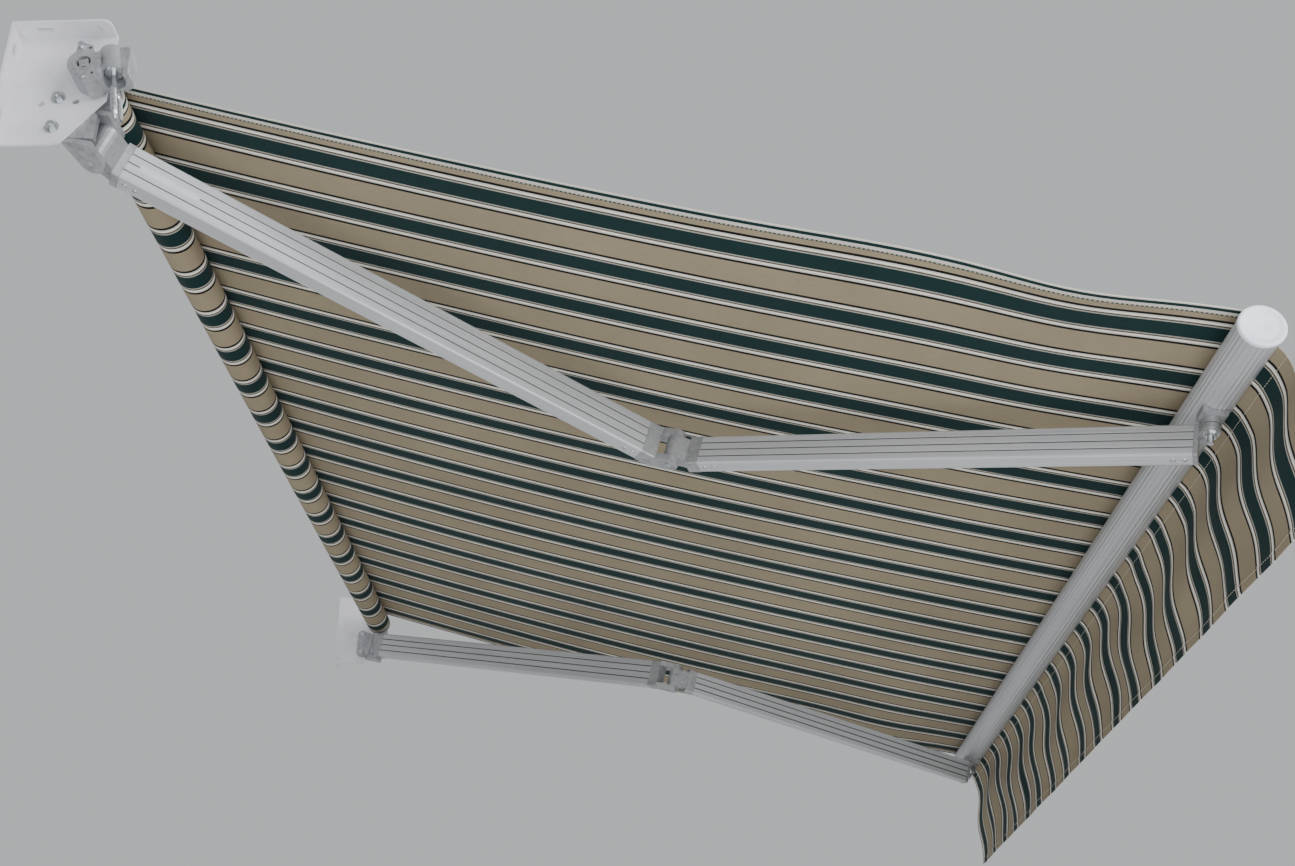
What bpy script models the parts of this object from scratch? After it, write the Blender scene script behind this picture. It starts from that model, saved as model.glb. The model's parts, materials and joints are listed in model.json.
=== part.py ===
"""Retractable folding-arm patio awning, fully extended, on its two wall plates.

The frame of the part: +X runs along the roller to the right end as seen from the garden,
the wall is the plane Y = 0, the awning projects towards -Y and +Z is up. The origin lies on
the wall plane, midway between the plates, level with the roller axis. Units are metres.
"left" is the end with the gearbox.
"""
import math

import bmesh
import bpy
from mathutils import Matrix, Vector

# Overall sizes
WIDTH = 2.500                 # over the free edges of the two side plates
FLANGE = 0.036                # how far the plates' edges are folded outwards
CLEARANCE = 0.0003            # gap that touching pieces keep
SLOPE = math.radians(15.0)    # fall of the arms towards the front
ARM_ROLL = math.radians(6.0)  # how far the arm planes lean, so that the elbows hang lower

# Side plates, folded sheet steel
PLATE_THICK = 0.004
PLATE_DEPTH = 0.163
PLATE_BELOW = 0.125           # roller axis down to the lower edge
PLATE_ABOVE = 0.105           # roller axis up to the top face
CHAMFER_RISE = 0.091
CHAMFER_RUN = 0.060
CORNER_RADIUS = 0.012
SPARE_HOLE = 0.0125
WALL_BOLT_HOLE = 0.011

# Roller
ROLLER_OUT = 0.140            # wall to roller axis
TUBE_RADIUS = 0.0330
TUBE_WALL = 0.0012
ROLL_RADIUS = 0.0360          # tube with the turns of cloth that are left on it
PLUG_FLANGE = 0.0035
BEARING_RADIUS = 0.0095
DRIVE_SQUARE = 0.0155

# Cover and valance
CLOTH_MARGIN = 0.034          # outer face of each plate's web to the cloth's edge
CLOTH_THICK = 0.0008
COVER_SAG = math.radians(3.0)  # how much steeper the cover leaves the roller than its chord
VALANCE_DROP = 0.272
VALANCE_WAVES = 9
VALANCE_WAVE = 0.011

# Arms
SHOULDER_INBOARD = 0.050      # outer face of the plate to the shoulder pivot
SHOULDER_OUT = 0.145
SHOULDER_DROP = 0.088
REACH = 1.865                 # shoulder pivot to front pivot, along the slope
UPPER_LENGTH = 1.115          # shoulder pivot to elbow pivot
FORE_LENGTH = 0.945           # elbow pivot to front pivot
UPPER_SECTION = (0.034, 0.072)
FORE_SECTION = (0.030, 0.062)
ARM_WALL = 0.0022
PIVOT_FACE = 0.002            # pivot line to the near face of an arm's tube
SPRING_LENGTH = 0.520
SPRING_RADIUS = 0.0110
SPRING_ROD = 0.0045
GROOVE_WIDTH = 0.0030
GROOVE_DEPTH = 0.0012
GROOVES = 3
COLLAR_PROUD = 0.0007
SPIGOT = 0.040
SHOULDER_RADIUS = 0.021
SHOULDER_HALF = 0.030
ELBOW_RADIUS = 0.015
ELBOW_HALF = 0.0235
PIN_RADIUS = 0.0060
PIN_PLAY = 0.0003

# Front bar and its brackets
BAR_RADIUS = 0.036
BAR_BORE = 0.0262
BAR_ABOVE_PIVOT = 0.080
BAR_OVERHANG = 0.010          # bar past the cloth at each end
CAP_THICK = 0.008
SLOT_MOUTH = 0.0042
SLOT_DEPTH = 0.0088
SLOT_ROOM = 0.0074
ROD_RADIUS = 0.0026
COVER_SLOT = math.radians(38.0)     # place of the cover's slot, up from the front
VALANCE_SLOT = math.radians(-48.0)  # place of the valance's slot, down from the front
FRONT_BOLT = 0.0050
OPEN_PIVOT_PLAY = 0.0050      # the right front pivot is left open by this much

# Gearbox and crank eye
GEARBOX_DEPTH = 0.048
GEARBOX_RADIUS = 0.0275
WORM_OUT = 0.042              # roller axis to worm axis
WORM_RADIUS = 0.0165
MESH_GAP = 0.0004             # worm tips to wheel tips, whose threads are drawn as plain rings
WORM_STANDOFF = 0.030         # plate to worm axis
EYE_TILT = math.radians(11.0)
EYE_WIRE = 0.0053
EYE_STEM = 0.050
EYE_LOOP = 0.066
EYE_WIDTH = 0.036
WHEEL_TEETH = 22              # with a two-start worm, eleven turns of the eye for one of the roller
WHEEL_THICK = 0.015

# Places that follow from the sizes above
WEB_X = WIDTH / 2 - FLANGE
WEB_IN = WEB_X - PLATE_THICK
CLOTH_WIDTH = 2 * (WEB_X - CLOTH_MARGIN)
SHOULDER_X = WEB_X - SHOULDER_INBOARD
PIVOT_STEP = UPPER_LENGTH - FORE_LENGTH
REST_LINE = math.hypot(REACH, PIVOT_STEP)
REST_UPPER = math.atan2(PIVOT_STEP, REACH) + math.acos(
    (UPPER_LENGTH ** 2 + REST_LINE ** 2 - FORE_LENGTH ** 2) / (2 * UPPER_LENGTH * REST_LINE))
ELBOW_AHEAD = UPPER_LENGTH * math.cos(REST_UPPER)
ELBOW_INBOARD = UPPER_LENGTH * math.sin(REST_UPPER)
REST_FORE = math.atan2(PIVOT_STEP - ELBOW_INBOARD, REACH - ELBOW_AHEAD)
LEFT, RIGHT = -1, 1
SIDES = {LEFT: "left", RIGHT: "right"}
WHEEL_RADIUS = WORM_OUT * math.cos(EYE_TILT) + 0.0007 - WORM_RADIUS - MESH_GAP

# Colour, roughness and metallic value of each finish
FINISHES = {
    "powder_coated_steel": ((0.62, 0.62, 0.66), 0.45, 0.0),
    "cast_aluminium": ((0.42, 0.42, 0.44), 0.50, 0.9),
    "anodised_aluminium": ((0.55, 0.56, 0.58), 0.35, 0.9),
    "zinc_plated_steel": ((0.70, 0.72, 0.75), 0.28, 1.0),
    "galvanised_steel": ((0.50, 0.52, 0.54), 0.45, 0.9),
    "white_plastic": ((0.86, 0.87, 0.92), 0.35, 0.0),
    "awning_cloth": ((0.30, 0.25, 0.20), 0.85, 0.0),
    "brass": ((0.65, 0.50, 0.22), 0.35, 1.0),
    "black_steel": ((0.05, 0.05, 0.05), 0.45, 0.3),
}


def clear_scene():
    for item in list(bpy.data.objects):
        bpy.data.objects.remove(item)


def finish_material(name):
    """The Principled material of one finish, made once."""
    known = bpy.data.materials.get(name)
    if known:
        return known
    colour, roughness, metallic = FINISHES[name]
    material = bpy.data.materials.new(name)
    material.use_nodes = True
    shader = material.node_tree.nodes["Principled BSDF"]
    shader.inputs["Base Color"].default_value = (*colour, 1.0)
    shader.inputs["Roughness"].default_value = roughness
    shader.inputs["Metallic"].default_value = metallic
    return material


def circle(radius, steps, centre=(0.0, 0.0)):
    """Points of a circle, anticlockwise."""
    turn = 2 * math.pi / steps
    return [(centre[0] + radius * math.cos(turn * i), centre[1] + radius * math.sin(turn * i))
            for i in range(steps)]


def arc(centre, radius, start, end, steps):
    """Points along an arc, both ends included."""
    return [(centre[0] + radius * math.cos(start + (end - start) * i / steps),
             centre[1] + radius * math.sin(start + (end - start) * i / steps))
            for i in range(steps + 1)]


def rectangle(x0, x1, y0, y1):
    return [(x0, y0), (x1, y0), (x1, y1), (x0, y1)]


def rounded(x0, x1, y0, y1, radius, steps=2):
    """A rectangle with round corners."""
    quarter = math.pi / 2
    points = []
    corners = ((x1 - radius, y0 + radius), (x1 - radius, y1 - radius),
               (x0 + radius, y1 - radius), (x0 + radius, y0 + radius))
    for turn, corner in enumerate(corners):
        points += arc(corner, radius, quarter * (turn - 1), quarter * turn, steps)
    return points


def hull(points):
    """Convex outline around points, anticlockwise."""
    ordered = sorted(set(points))

    def half(run):
        chain = []
        for p in run:
            while len(chain) > 1 and ((chain[-1][0] - chain[-2][0]) * (p[1] - chain[-2][1])
                                      - (chain[-1][1] - chain[-2][1]) * (p[0] - chain[-2][0])) <= 1e-12:
                chain.pop()
            chain.append(p)
        return chain[:-1]

    return half(ordered) + half(ordered[::-1])


def slab(outline, low, high, holes=()):
    """A prism of an outline, with holes, between two heights."""
    bm = bmesh.new()
    edges = []
    for loop in (outline, *holes):
        ring = [bm.verts.new((x, y, low)) for x, y in loop]
        edges += [bm.edges.new((ring[i - 1], ring[i])) for i in range(len(ring))]
    filled = bmesh.ops.triangle_fill(bm, edges=edges, use_beauty=True)
    faces = [item for item in filled["geom"] if isinstance(item, bmesh.types.BMFace)]
    raised = bmesh.ops.extrude_face_region(bm, geom=faces)
    lifted = [item for item in raised["geom"] if isinstance(item, bmesh.types.BMVert)]
    bmesh.ops.translate(bm, verts=lifted, vec=(0, 0, high - low))
    bmesh.ops.recalc_face_normals(bm, faces=bm.faces)
    return bm


def turned(profile, steps):
    """A solid of revolution about Z: (radius, height) points, closed on the axis at both ends."""
    bm = bmesh.new()
    rings = []
    for radius, height in profile:
        count = 1 if radius == 0 else steps
        rings.append([bm.verts.new((x, y, height)) for x, y in circle(radius, count)])
    for lower, upper in zip(rings, rings[1:]):
        for i in range(steps):
            corners = [lower[i - 1 if len(lower) > 1 else 0], lower[i if len(lower) > 1 else 0],
                       upper[i if len(upper) > 1 else 0], upper[i - 1 if len(upper) > 1 else 0]]
            bm.faces.new(list(dict.fromkeys(corners)))
    bmesh.ops.recalc_face_normals(bm, faces=bm.faces)
    return bm


def moved(bm, matrix):
    bmesh.ops.transform(bm, matrix=matrix, verts=bm.verts)
    return bm


def along_x(bm):
    """Turns a prism so that its outline is read as (y, z) and its height as x."""
    return moved(bm, Matrix(((0, 0, 1, 0), (1, 0, 0, 0), (0, 1, 0, 0), (0, 0, 0, 1))))


def mirrored(bm, axis):
    """The mirror image, with its faces still pointing out."""
    scale = Matrix.Identity(4)
    scale[axis][axis] = -1
    moved(bm, scale)
    bmesh.ops.reverse_faces(bm, faces=bm.faces)
    return bm


def combined(operation, first, others):
    """Boolean of solids; the others are used up."""
    solids = []
    for bm in (first, *others):
        mesh = bpy.data.meshes.new("solid")
        bm.to_mesh(mesh)
        bm.free()
        solid = bpy.data.objects.new("solid", mesh)
        bpy.context.collection.objects.link(solid)
        solids.append(solid)
    for cutter in solids[1:]:
        step = solids[0].modifiers.new("step", "BOOLEAN")
        step.operation = operation
        step.object = cutter
    bpy.context.view_layer.update()
    made = solids[0].evaluated_get(bpy.context.evaluated_depsgraph_get()).to_mesh()
    result = bmesh.new()
    result.from_mesh(made)
    bmesh.ops.remove_doubles(result, verts=result.verts, dist=0.000002)
    for solid in solids:
        bpy.data.objects.remove(solid)
    return result


def fused(first, *others):
    return combined("UNION", first, others)


def cut(first, *cutters):
    return combined("DIFFERENCE", first, cutters)


def node(name, bm, finish, parent=None):
    """Makes the named object of one piece; its mesh is in its parent's frame."""
    mesh = bpy.data.meshes.new(name)
    bm.to_mesh(mesh)
    bm.free()
    mesh.shade_smooth()
    mesh.set_sharp_from_angle(angle=math.radians(35))
    mesh.materials.append(finish_material(finish))
    piece = bpy.data.objects.new(name, mesh)
    piece.parent = parent
    bpy.context.collection.objects.link(piece)
    return piece


def axis_empty(name, matrix):
    """An empty on a joint's axis, which its moving pieces hang on."""
    empty = bpy.data.objects.new(name, None)
    empty.empty_display_size = 0.05
    empty.matrix_world = matrix
    bpy.context.collection.objects.link(empty)
    return empty


def arm_plane(side):
    """Frame at a shoulder pivot: x down the slope, z along the hinge axes."""
    outward = Vector((0, -math.cos(SLOPE), -math.sin(SLOPE)))
    up = Vector((0, -math.sin(SLOPE), math.cos(SLOPE)))
    inboard = Vector((-side, 0, 0))
    normal = up * math.cos(ARM_ROLL) + inboard * math.sin(ARM_ROLL)
    across = normal.cross(outward)
    frame = Matrix((outward, across, normal)).transposed().to_4x4()
    frame.translation = Vector((side * SHOULDER_X, -SHOULDER_OUT, -SHOULDER_DROP))
    return frame


def in_plane(side, ahead, inboard, turn):
    """Frame in an arm's plane, moved from the shoulder and turned inboard by an angle."""
    hand = -side
    return (arm_plane(side) @ Matrix.Translation((ahead, hand * inboard, 0))
            @ Matrix.Rotation(hand * turn, 4, "Z"))


def front_pivot(side):
    return in_plane(side, REACH, PIVOT_STEP, 0.0)


def bar_axis():
    """Y and Z of the front bar's axis."""
    pivot = front_pivot(LEFT).translation
    return (pivot.y - BAR_ABOVE_PIVOT * math.sin(SLOPE), pivot.z + BAR_ABOVE_PIVOT * math.cos(SLOPE))


def for_side(bm, side, axis):
    """Pieces are drawn for the left; the right ones are their mirror images."""
    return mirrored(bm, axis) if side == RIGHT else bm


# Side plates and what is fixed to them
BRACKET_BOLTS = ((0.0850, 0.0946 - PLATE_BELOW), (0.0836, 0.0340 - PLATE_BELOW))
SPARE_HOLES = ((0.0574, 0.0845 - PLATE_BELOW), (0.1140, 0.0880 - PLATE_BELOW))
BOLT_RADIUS = 0.0042
NUT_SIZE = 0.0072
GEARBOX_BOLTS = ((-0.0074, 0.0344), (0.0037, -0.0296))  # out and up from the roller axis
GEARBOX_HOLES = ((0.0068, 0.0296), (0.0172, -0.0240))
EAR_PROUD = (0.0010, 0.0015)


def side_plate(side):
    """One folded plate: web, wall flange and top flange in one sheet."""
    low, high = -PLATE_BELOW, PLATE_ABOVE
    run = PLATE_DEPTH - CHAMFER_RUN
    web = [(0, high), (0, low), (-(run - 0.022), low), (-(run - 0.008), low + 0.0022), (-run, low + 0.0085),
           (-PLATE_DEPTH, low + CHAMFER_RISE), (-PLATE_DEPTH, high)]
    holes = [circle(BOLT_RADIUS + CLEARANCE, 12, (-out, up)) for out, up in BRACKET_BOLTS]
    holes += [circle(SPARE_HOLE / 2, 16, (-out, up)) for out, up in SPARE_HOLES]
    holes.append(circle(0.0135, 20, (-ROLLER_OUT, 0.0)) if side == LEFT
                 else circle(BEARING_RADIUS + CLEARANCE, 20, (-ROLLER_OUT, 0.0)))
    if side == LEFT:
        holes += [circle(0.0031, 10, (-ROLLER_OUT - out, up)) for out, up in GEARBOX_BOLTS]
    sheet = along_x(slab(web, -WEB_X, -WEB_IN, holes))
    wall = slab(rounded(-WIDTH / 2, -WEB_X + 0.001, low, high, 0.0009, 1), 0, PLATE_THICK,
                [rounded(-WIDTH / 2 + 0.013, -WEB_X - 0.012, z - 0.012, z + 0.012, 0.005)
                 for z in (low + 0.045, high - 0.045)])
    moved(wall, Matrix.Rotation(math.pi / 2, 4, "X"))
    top = ([(-WEB_X + 0.001, -PLATE_DEPTH + 0.0001), (-WEB_X + 0.001, -0.0001), (-WIDTH / 2, -0.0001)]
           + arc((-WIDTH / 2 + CORNER_RADIUS, -PLATE_DEPTH + CORNER_RADIUS), CORNER_RADIUS,
                 math.pi, 1.5 * math.pi, 4))
    shelf = slab(top, high - PLATE_THICK, high,
                 [rounded(-WIDTH / 2 + 0.013, -WIDTH / 2 + 0.021, -0.063, -0.033, 0.0038),
                  circle(0.0055, 12, (-WIDTH / 2 + 0.017, -PLATE_DEPTH + 0.024))])
    plate = for_side(fused(sheet, wall, shelf), side, 0)
    node(SIDES[side] + "_side_plate", plate, "powder_coated_steel")


def shoulder_bracket(side):
    """Cast fork that carries the arm, bolted to the inner face of its plate."""
    name = SIDES[side]
    base_thick = 0.010
    x_out = -WEB_IN + CLEARANCE
    outline = hull([(-out + y, up + z) for out, up in BRACKET_BOLTS for y, z in circle(0.014, 12)]
                   + [(-SHOULDER_OUT + y, -SHOULDER_DROP + z) for y, z in
                      ((-0.007, -0.024), (-0.007, 0.024), (0.007, 0.044))])
    base = along_x(slab(outline, x_out, x_out + base_thick))
    lug_reach = SHOULDER_INBOARD - PLATE_THICK - base_thick / 2
    lug = hull(circle(SHOULDER_RADIUS + 0.001, 22)
               + rectangle(-0.038, 0.012, -lug_reach, -lug_reach + 0.006))
    lug_low = SHOULDER_HALF + CLEARANCE
    lugs = [moved(slab(lug, *span), arm_plane(LEFT))
            for span in ((lug_low, lug_low + 0.010), (-lug_low - 0.011, -lug_low))]
    rib = moved(slab(rectangle(-0.036, -0.0245, -lug_reach, -0.004), -lug_low - 0.001, lug_low + 0.001),
                arm_plane(LEFT))
    bore = moved(slab(circle(PIN_RADIUS + PIN_PLAY, 16), -0.06, 0.06), arm_plane(LEFT))
    holes = [along_x(slab(circle(BOLT_RADIUS + CLEARANCE, 12, (-out, up)), x_out - 0.01, x_out + 0.03))
             for out, up in BRACKET_BOLTS]
    bracket = cut(fused(base, *lugs, rib), bore, *holes)
    node(name + "_shoulder_bracket", for_side(bracket, side, 0), "cast_aluminium")
    for label, (out, up) in zip(("upper", "lower"), BRACKET_BOLTS):
        place = Matrix.Translation((0, -out, up)) @ Matrix.Rotation(math.pi / 2, 4, "Y")
        head = x_out + base_thick + CLEARANCE
        bolt = fused(slab(circle(BOLT_RADIUS, 12), -WEB_X - 0.0125, head + 0.001),
                     slab(circle(NUT_SIZE, 6), head, head + 0.0055))
        nut = fused(slab(circle(0.0118, 16), -WEB_X - 0.0020 - CLEARANCE, -WEB_X - CLEARANCE,
                         [circle(BOLT_RADIUS + CLEARANCE, 12)]),
                    slab(circle(NUT_SIZE + 0.0014, 6), -WEB_X - 0.0085, -WEB_X - 0.0015,
                         [circle(BOLT_RADIUS + CLEARANCE, 12)]))
        for kind, piece in (("bolt", bolt), ("nut", nut)):
            node("%s_bracket_%s_%s" % (name, kind, label), for_side(moved(piece, place), side, 0),
                 "zinc_plated_steel")
    pin_end = lug_low + 0.0118
    pin = fused(slab(circle(PIN_RADIUS, 16), -pin_end, pin_end),
                slab(circle(PIN_RADIUS + 0.003, 16), lug_low + 0.010 + CLEARANCE, pin_end + 0.0008))
    node(name + "_shoulder_pin", for_side(moved(pin, arm_plane(LEFT)), side, 0), "zinc_plated_steel")


# Gearbox, crank eye and roller

def worm_frame():
    """Frame on the worm axis: origin at the worm's middle, z up along it, x out from the wall."""
    place = Matrix.Translation((-WEB_X - WORM_STANDOFF, -ROLLER_OUT - WORM_OUT, 0.004))
    return place @ Matrix.Rotation(-math.pi / 2, 4, "Z") @ Matrix.Rotation(-EYE_TILT, 4, "Y")


def gearbox():
    """Cast housing with round wheel case, two ears and worm barrel, and its back cover."""
    centre = (-ROLLER_OUT, 0.0)
    face = -WEB_X - GEARBOX_DEPTH
    back = -WEB_X - 0.0035

    def around(out, up, radius, steps=14):
        return circle(radius, steps, (centre[0] - out, centre[1] + up))

    case = along_x(slab(circle(GEARBOX_RADIUS, 36, centre), face, back))
    ears = [along_x(slab(hull(around(*bolt, 0.0068) + around(*hole, 0.0062) + around(0, 0, 0.018, 24)),
                         face - lift, back))
            for bolt, hole, lift in zip(GEARBOX_BOLTS, GEARBOX_HOLES, EAR_PROUD)]
    block = along_x(slab([(centre[0] - out, up) for out, up in
                          ((0.012, -0.022), (0.020, -0.029), (0.066, -0.024), (0.0715, -0.018),
                           (0.0690, 0.034), (0.062, 0.037), (0.020, 0.030), (0.012, 0.022))],
                         face + 0.006, back - 0.006))
    barrel = moved(slab(circle(WORM_RADIUS + 0.0030, 28), -0.031, 0.032), worm_frame())
    room = -WEB_X - WORM_STANDOFF - WHEEL_THICK / 2 - 0.001
    wheel_room = along_x(slab(circle(WHEEL_RADIUS + 0.0006, 36, centre), room, back + 0.01))
    shaft_hole = along_x(slab(circle(0.0122, 24, centre), face - 0.01, back))
    worm_room = moved(slab(circle(WORM_RADIUS + 0.0006, 24), -0.05, 0.026), worm_frame())
    pocket = along_x(slab([(centre[0] - out, up) for out, up in
                           ((0.030, -0.040), (0.066, -0.040), (0.063, -0.009), (0.032, -0.012))],
                          face - 0.01, face + 0.016))
    holes = [along_x(slab(around(*spot, 0.0028, 12), face - 0.01, back + 0.01)) for spot in GEARBOX_HOLES]
    bolt_holes = [along_x(slab(around(*spot, 0.0028 + CLEARANCE, 12), face - 0.01, back + 0.01))
                  for spot in GEARBOX_BOLTS]
    housing = cut(fused(case, *ears, block, barrel),
                  wheel_room, shaft_hole, worm_room, pocket, *holes, *bolt_holes)
    node("gearbox_housing", housing, "cast_aluminium")
    cover = along_x(slab(circle(GEARBOX_RADIUS - 0.0006, 36, centre), back + CLEARANCE, -WEB_X - CLEARANCE,
                         [circle(0.0122, 24, centre)]))
    cover = cut(cover, *[along_x(slab(around(*spot, 0.0035, 12), back - 0.01, -WEB_X + 0.01))
                         for spot in (*GEARBOX_BOLTS, *GEARBOX_HOLES)])
    node("gearbox_back_cover", cover, "galvanised_steel")
    for label, (out, up), lift in zip(("upper", "lower"), GEARBOX_BOLTS, EAR_PROUD):
        seat = face - lift - CLEARANCE
        bolt = fused(slab(circle(0.0028, 12), seat - 0.001, -WEB_X + 0.002),
                     slab(circle(0.0066, 16), seat - 0.0014, seat),
                     slab(circle(0.0054, 6), seat - 0.0056, seat - 0.001))
        place = Matrix.Translation((0, centre[0] - out, up)) @ Matrix.Rotation(math.pi / 2, 4, "Y")
        node("gearbox_bolt_" + label, moved(bolt, place), "zinc_plated_steel")


def crank_eye():
    """Worm on its shaft and the round-bar eye that the crank hooks into."""
    axis = axis_empty("crank_eye_axis", worm_frame())
    journal = 0.0052
    ridges = 4
    pitch = 0.0060
    profile = [(0, -0.020), (journal, -0.020), (journal, -ridges * pitch / 2)]
    for ridge in range(ridges):
        height = (ridge - ridges / 2) * pitch
        profile += [(WORM_RADIUS - 0.0022, height), (WORM_RADIUS, height + 0.0018),
                    (WORM_RADIUS, height + 0.0030), (WORM_RADIUS - 0.0022, height + 0.0048)]
    profile += [(journal, ridges * pitch / 2), (journal, 0.024), (0, 0.024)]
    node("worm", turned(profile, 16), "zinc_plated_steel", axis)
    top = -0.020 - CLEARANCE
    neck = -EYE_STEM
    half = EYE_WIDTH / 2 - EYE_WIRE
    end = neck - EYE_LOOP + half + EYE_WIRE
    start = neck - half
    path = [Vector((half * math.sin(t), 0, start + half * math.cos(t)))
            for t in [math.pi * i / 8 for i in range(5)]]
    path += [Vector((half * math.cos(t), 0, end - half * math.sin(t)))
             for t in [math.pi * i / 8 for i in range(9)]]
    path += [Vector((-half * math.cos(t), 0, start + half * math.sin(t)))
             for t in [math.pi * i / 8 for i in range(4)]]
    ring = bmesh.new()
    loops = []
    for i, point in enumerate(path):
        ahead = (path[(i + 1) % len(path)] - path[i - 1]).normalized()
        side = Vector((0, 1, 0))
        up = ahead.cross(side)
        loops.append([ring.verts.new(point + side * y + up * z) for y, z in circle(EYE_WIRE, 10)])
    for a, b in zip(loops, loops[1:] + loops[:1]):
        for i in range(len(a)):
            ring.faces.new((a[i - 1], a[i], b[i], b[i - 1]))
    bmesh.ops.recalc_face_normals(ring, faces=ring.faces)
    stem = slab(circle(EYE_WIRE - 0.0002, 12), neck - 0.004, top)
    eye = moved(fused(ring, stem), Matrix.Rotation(math.pi / 2, 4, "Z"))
    node("crank_eye", eye, "zinc_plated_steel", axis)


def roller():
    """Tube with its end plugs, drive shaft, worm wheel and the turns of cloth left on it."""
    axis = axis_empty("roller_axis", Matrix.Translation((0, -ROLLER_OUT, 0)))
    half = CLOTH_WIDTH / 2
    tube_end = half + 0.006
    node("roller_tube", along_x(slab(circle(TUBE_RADIUS, 40), -tube_end, tube_end,
                                     [circle(TUBE_RADIUS - TUBE_WALL, 32)])), "galvanised_steel", axis)
    node("cloth_roll", along_x(slab(circle(ROLL_RADIUS, 48), -half, half,
                                    [circle(TUBE_RADIUS + CLEARANCE, 40)])), "awning_cloth", axis)
    inner = TUBE_RADIUS - TUBE_WALL - CLEARANCE - 0.0002
    square = math.sqrt(2) * (DRIVE_SQUARE / 2)
    shaft_in = -tube_end + 0.050
    shaft_out = -WEB_X - GEARBOX_DEPTH + 0.001
    key_turn = math.radians(32)
    node("drive_shaft", moved(along_x(slab(circle(square, 4), shaft_out, shaft_in)),
                              Matrix.Rotation(key_turn, 4, "X")), "zinc_plated_steel", axis)
    clear_square = circle(square + CLEARANCE * math.sqrt(2), 4)
    rim = TUBE_RADIUS + 0.0012
    plug = fused(along_x(slab(circle(inner, 32), -tube_end - 0.002, -tube_end + 0.060)),
                 along_x(slab(circle(rim, 32), -tube_end - PLUG_FLANGE, -tube_end - CLEARANCE)))
    socket = along_x(slab(clear_square, -tube_end - 0.02, shaft_in + CLEARANCE))
    node("left_roller_plug", moved(cut(plug, socket), Matrix.Rotation(key_turn, 4, "X")),
         "cast_aluminium", axis)
    stub = along_x(slab(circle(BEARING_RADIUS - 0.002, 20), tube_end, WEB_X + 0.004))
    plug = fused(along_x(slab(circle(inner, 32), tube_end - 0.060, tube_end + 0.002)),
                 along_x(slab(circle(rim, 32), tube_end + CLEARANCE, tube_end + PLUG_FLANGE)),
                 stub)
    node("right_roller_plug", plug, "cast_aluminium", axis)
    bush = fused(slab(circle(BEARING_RADIUS, 20), WEB_IN - 0.0025, WEB_X + 0.0025,
                      [circle(BEARING_RADIUS - 0.002 + CLEARANCE, 20)]),
                 slab(circle(BEARING_RADIUS + 0.006, 20), WEB_IN - 0.0028, WEB_IN - CLEARANCE,
                      [circle(BEARING_RADIUS - 0.002 + CLEARANCE, 20)]))
    node("roller_bearing_bush", moved(along_x(bush), Matrix.Translation((0, -ROLLER_OUT, 0))),
         "white_plastic")
    tooth = 2 * math.pi / WHEEL_TEETH
    outline = []
    for i in range(WHEEL_TEETH):
        for share, radius in ((0.0, WHEEL_RADIUS - 0.0022), (0.18, WHEEL_RADIUS), (0.42, WHEEL_RADIUS),
                              (0.60, WHEEL_RADIUS - 0.0022)):
            outline.append((radius * math.cos(tooth * (i + share)), radius * math.sin(tooth * (i + share))))
    middle = -WEB_X - WORM_STANDOFF
    wheel = cut(fused(slab(outline, middle - WHEEL_THICK / 2, middle + WHEEL_THICK / 2),
                      slab(circle(0.0140, 24), middle, -WEB_X - 0.0040)),
                moved(slab(clear_square, middle - 0.03, -WEB_X), Matrix.Rotation(key_turn, 4, "Z")))
    node("worm_wheel", along_x(wheel), "brass", axis)


# Arms

def tube_outline(section):
    """Outline of an arm's tube in (y, z): y from the pivot face, with grooves on both side faces."""
    thick, tall = section
    y0, y1 = PIVOT_FACE, PIVOT_FACE + thick
    half = tall / 2
    radius = 0.0030
    notches = [tall * (i + 1) / (GROOVES + 1) - half for i in range(GROOVES)]
    corner = arc((y1 - radius, -half + radius), radius, -math.pi / 2, 0, 2)
    points = arc((y0 + radius, -half + radius), radius, math.pi, 1.5 * math.pi, 2) + corner
    for z in notches:
        points += [(y1, z - GROOVE_WIDTH / 2), (y1 - GROOVE_DEPTH, z - GROOVE_WIDTH / 5),
                   (y1 - GROOVE_DEPTH, z + GROOVE_WIDTH / 5), (y1, z + GROOVE_WIDTH / 2)]
    points += arc((y1 - radius, half - radius), radius, 0, math.pi / 2, 2)
    points += arc((y0 + radius, half - radius), radius, math.pi / 2, math.pi, 2)
    for z in reversed(notches):
        points += [(y0, z + GROOVE_WIDTH / 2), (y0 + GROOVE_DEPTH, z + GROOVE_WIDTH / 5),
                   (y0 + GROOVE_DEPTH, z - GROOVE_WIDTH / 5), (y0, z - GROOVE_WIDTH / 2)]
    return points


def tube_bore(section, inset):
    """Outline of the hollow of an arm's tube, made smaller all round by an inset."""
    thick, tall = section
    wall = ARM_WALL + GROOVE_DEPTH + inset
    return rounded(PIVOT_FACE + wall, PIVOT_FACE + thick - wall, -tall / 2 + ARM_WALL + inset,
                   tall / 2 - ARM_WALL - inset, 0.0025, 1)


def arm_tube(section, start, end):
    return along_x(slab(tube_outline(section), start, end, [tube_bore(section, 0.0)]))


def arm_collar(section, start, end, spigot_to):
    """Cast block as large as the tube, with a spigot that fills its bore."""
    thick, tall = section
    proud = COLLAR_PROUD
    block = along_x(slab(rounded(PIVOT_FACE - proud, PIVOT_FACE + thick + proud, -tall / 2 - proud,
                                 tall / 2 + proud, 0.003), start, end))
    low, high = sorted((end - 0.001 if spigot_to > end else start + 0.001, spigot_to))
    spigot = along_x(slab(tube_bore(section, CLEARANCE), low, high))
    return block, spigot


def knuckle(radius, section, reach, half, steps=22):
    """Neck from a round barrel at the pivot to the face of a collar."""
    thick = section[0]
    x = math.copysign(abs(reach) + 0.001, reach)
    return slab(hull(circle(radius, steps) + [(x, PIVOT_FACE + 0.001), (x, PIVOT_FACE + thick - 0.001)]),
                -half, half)


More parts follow.
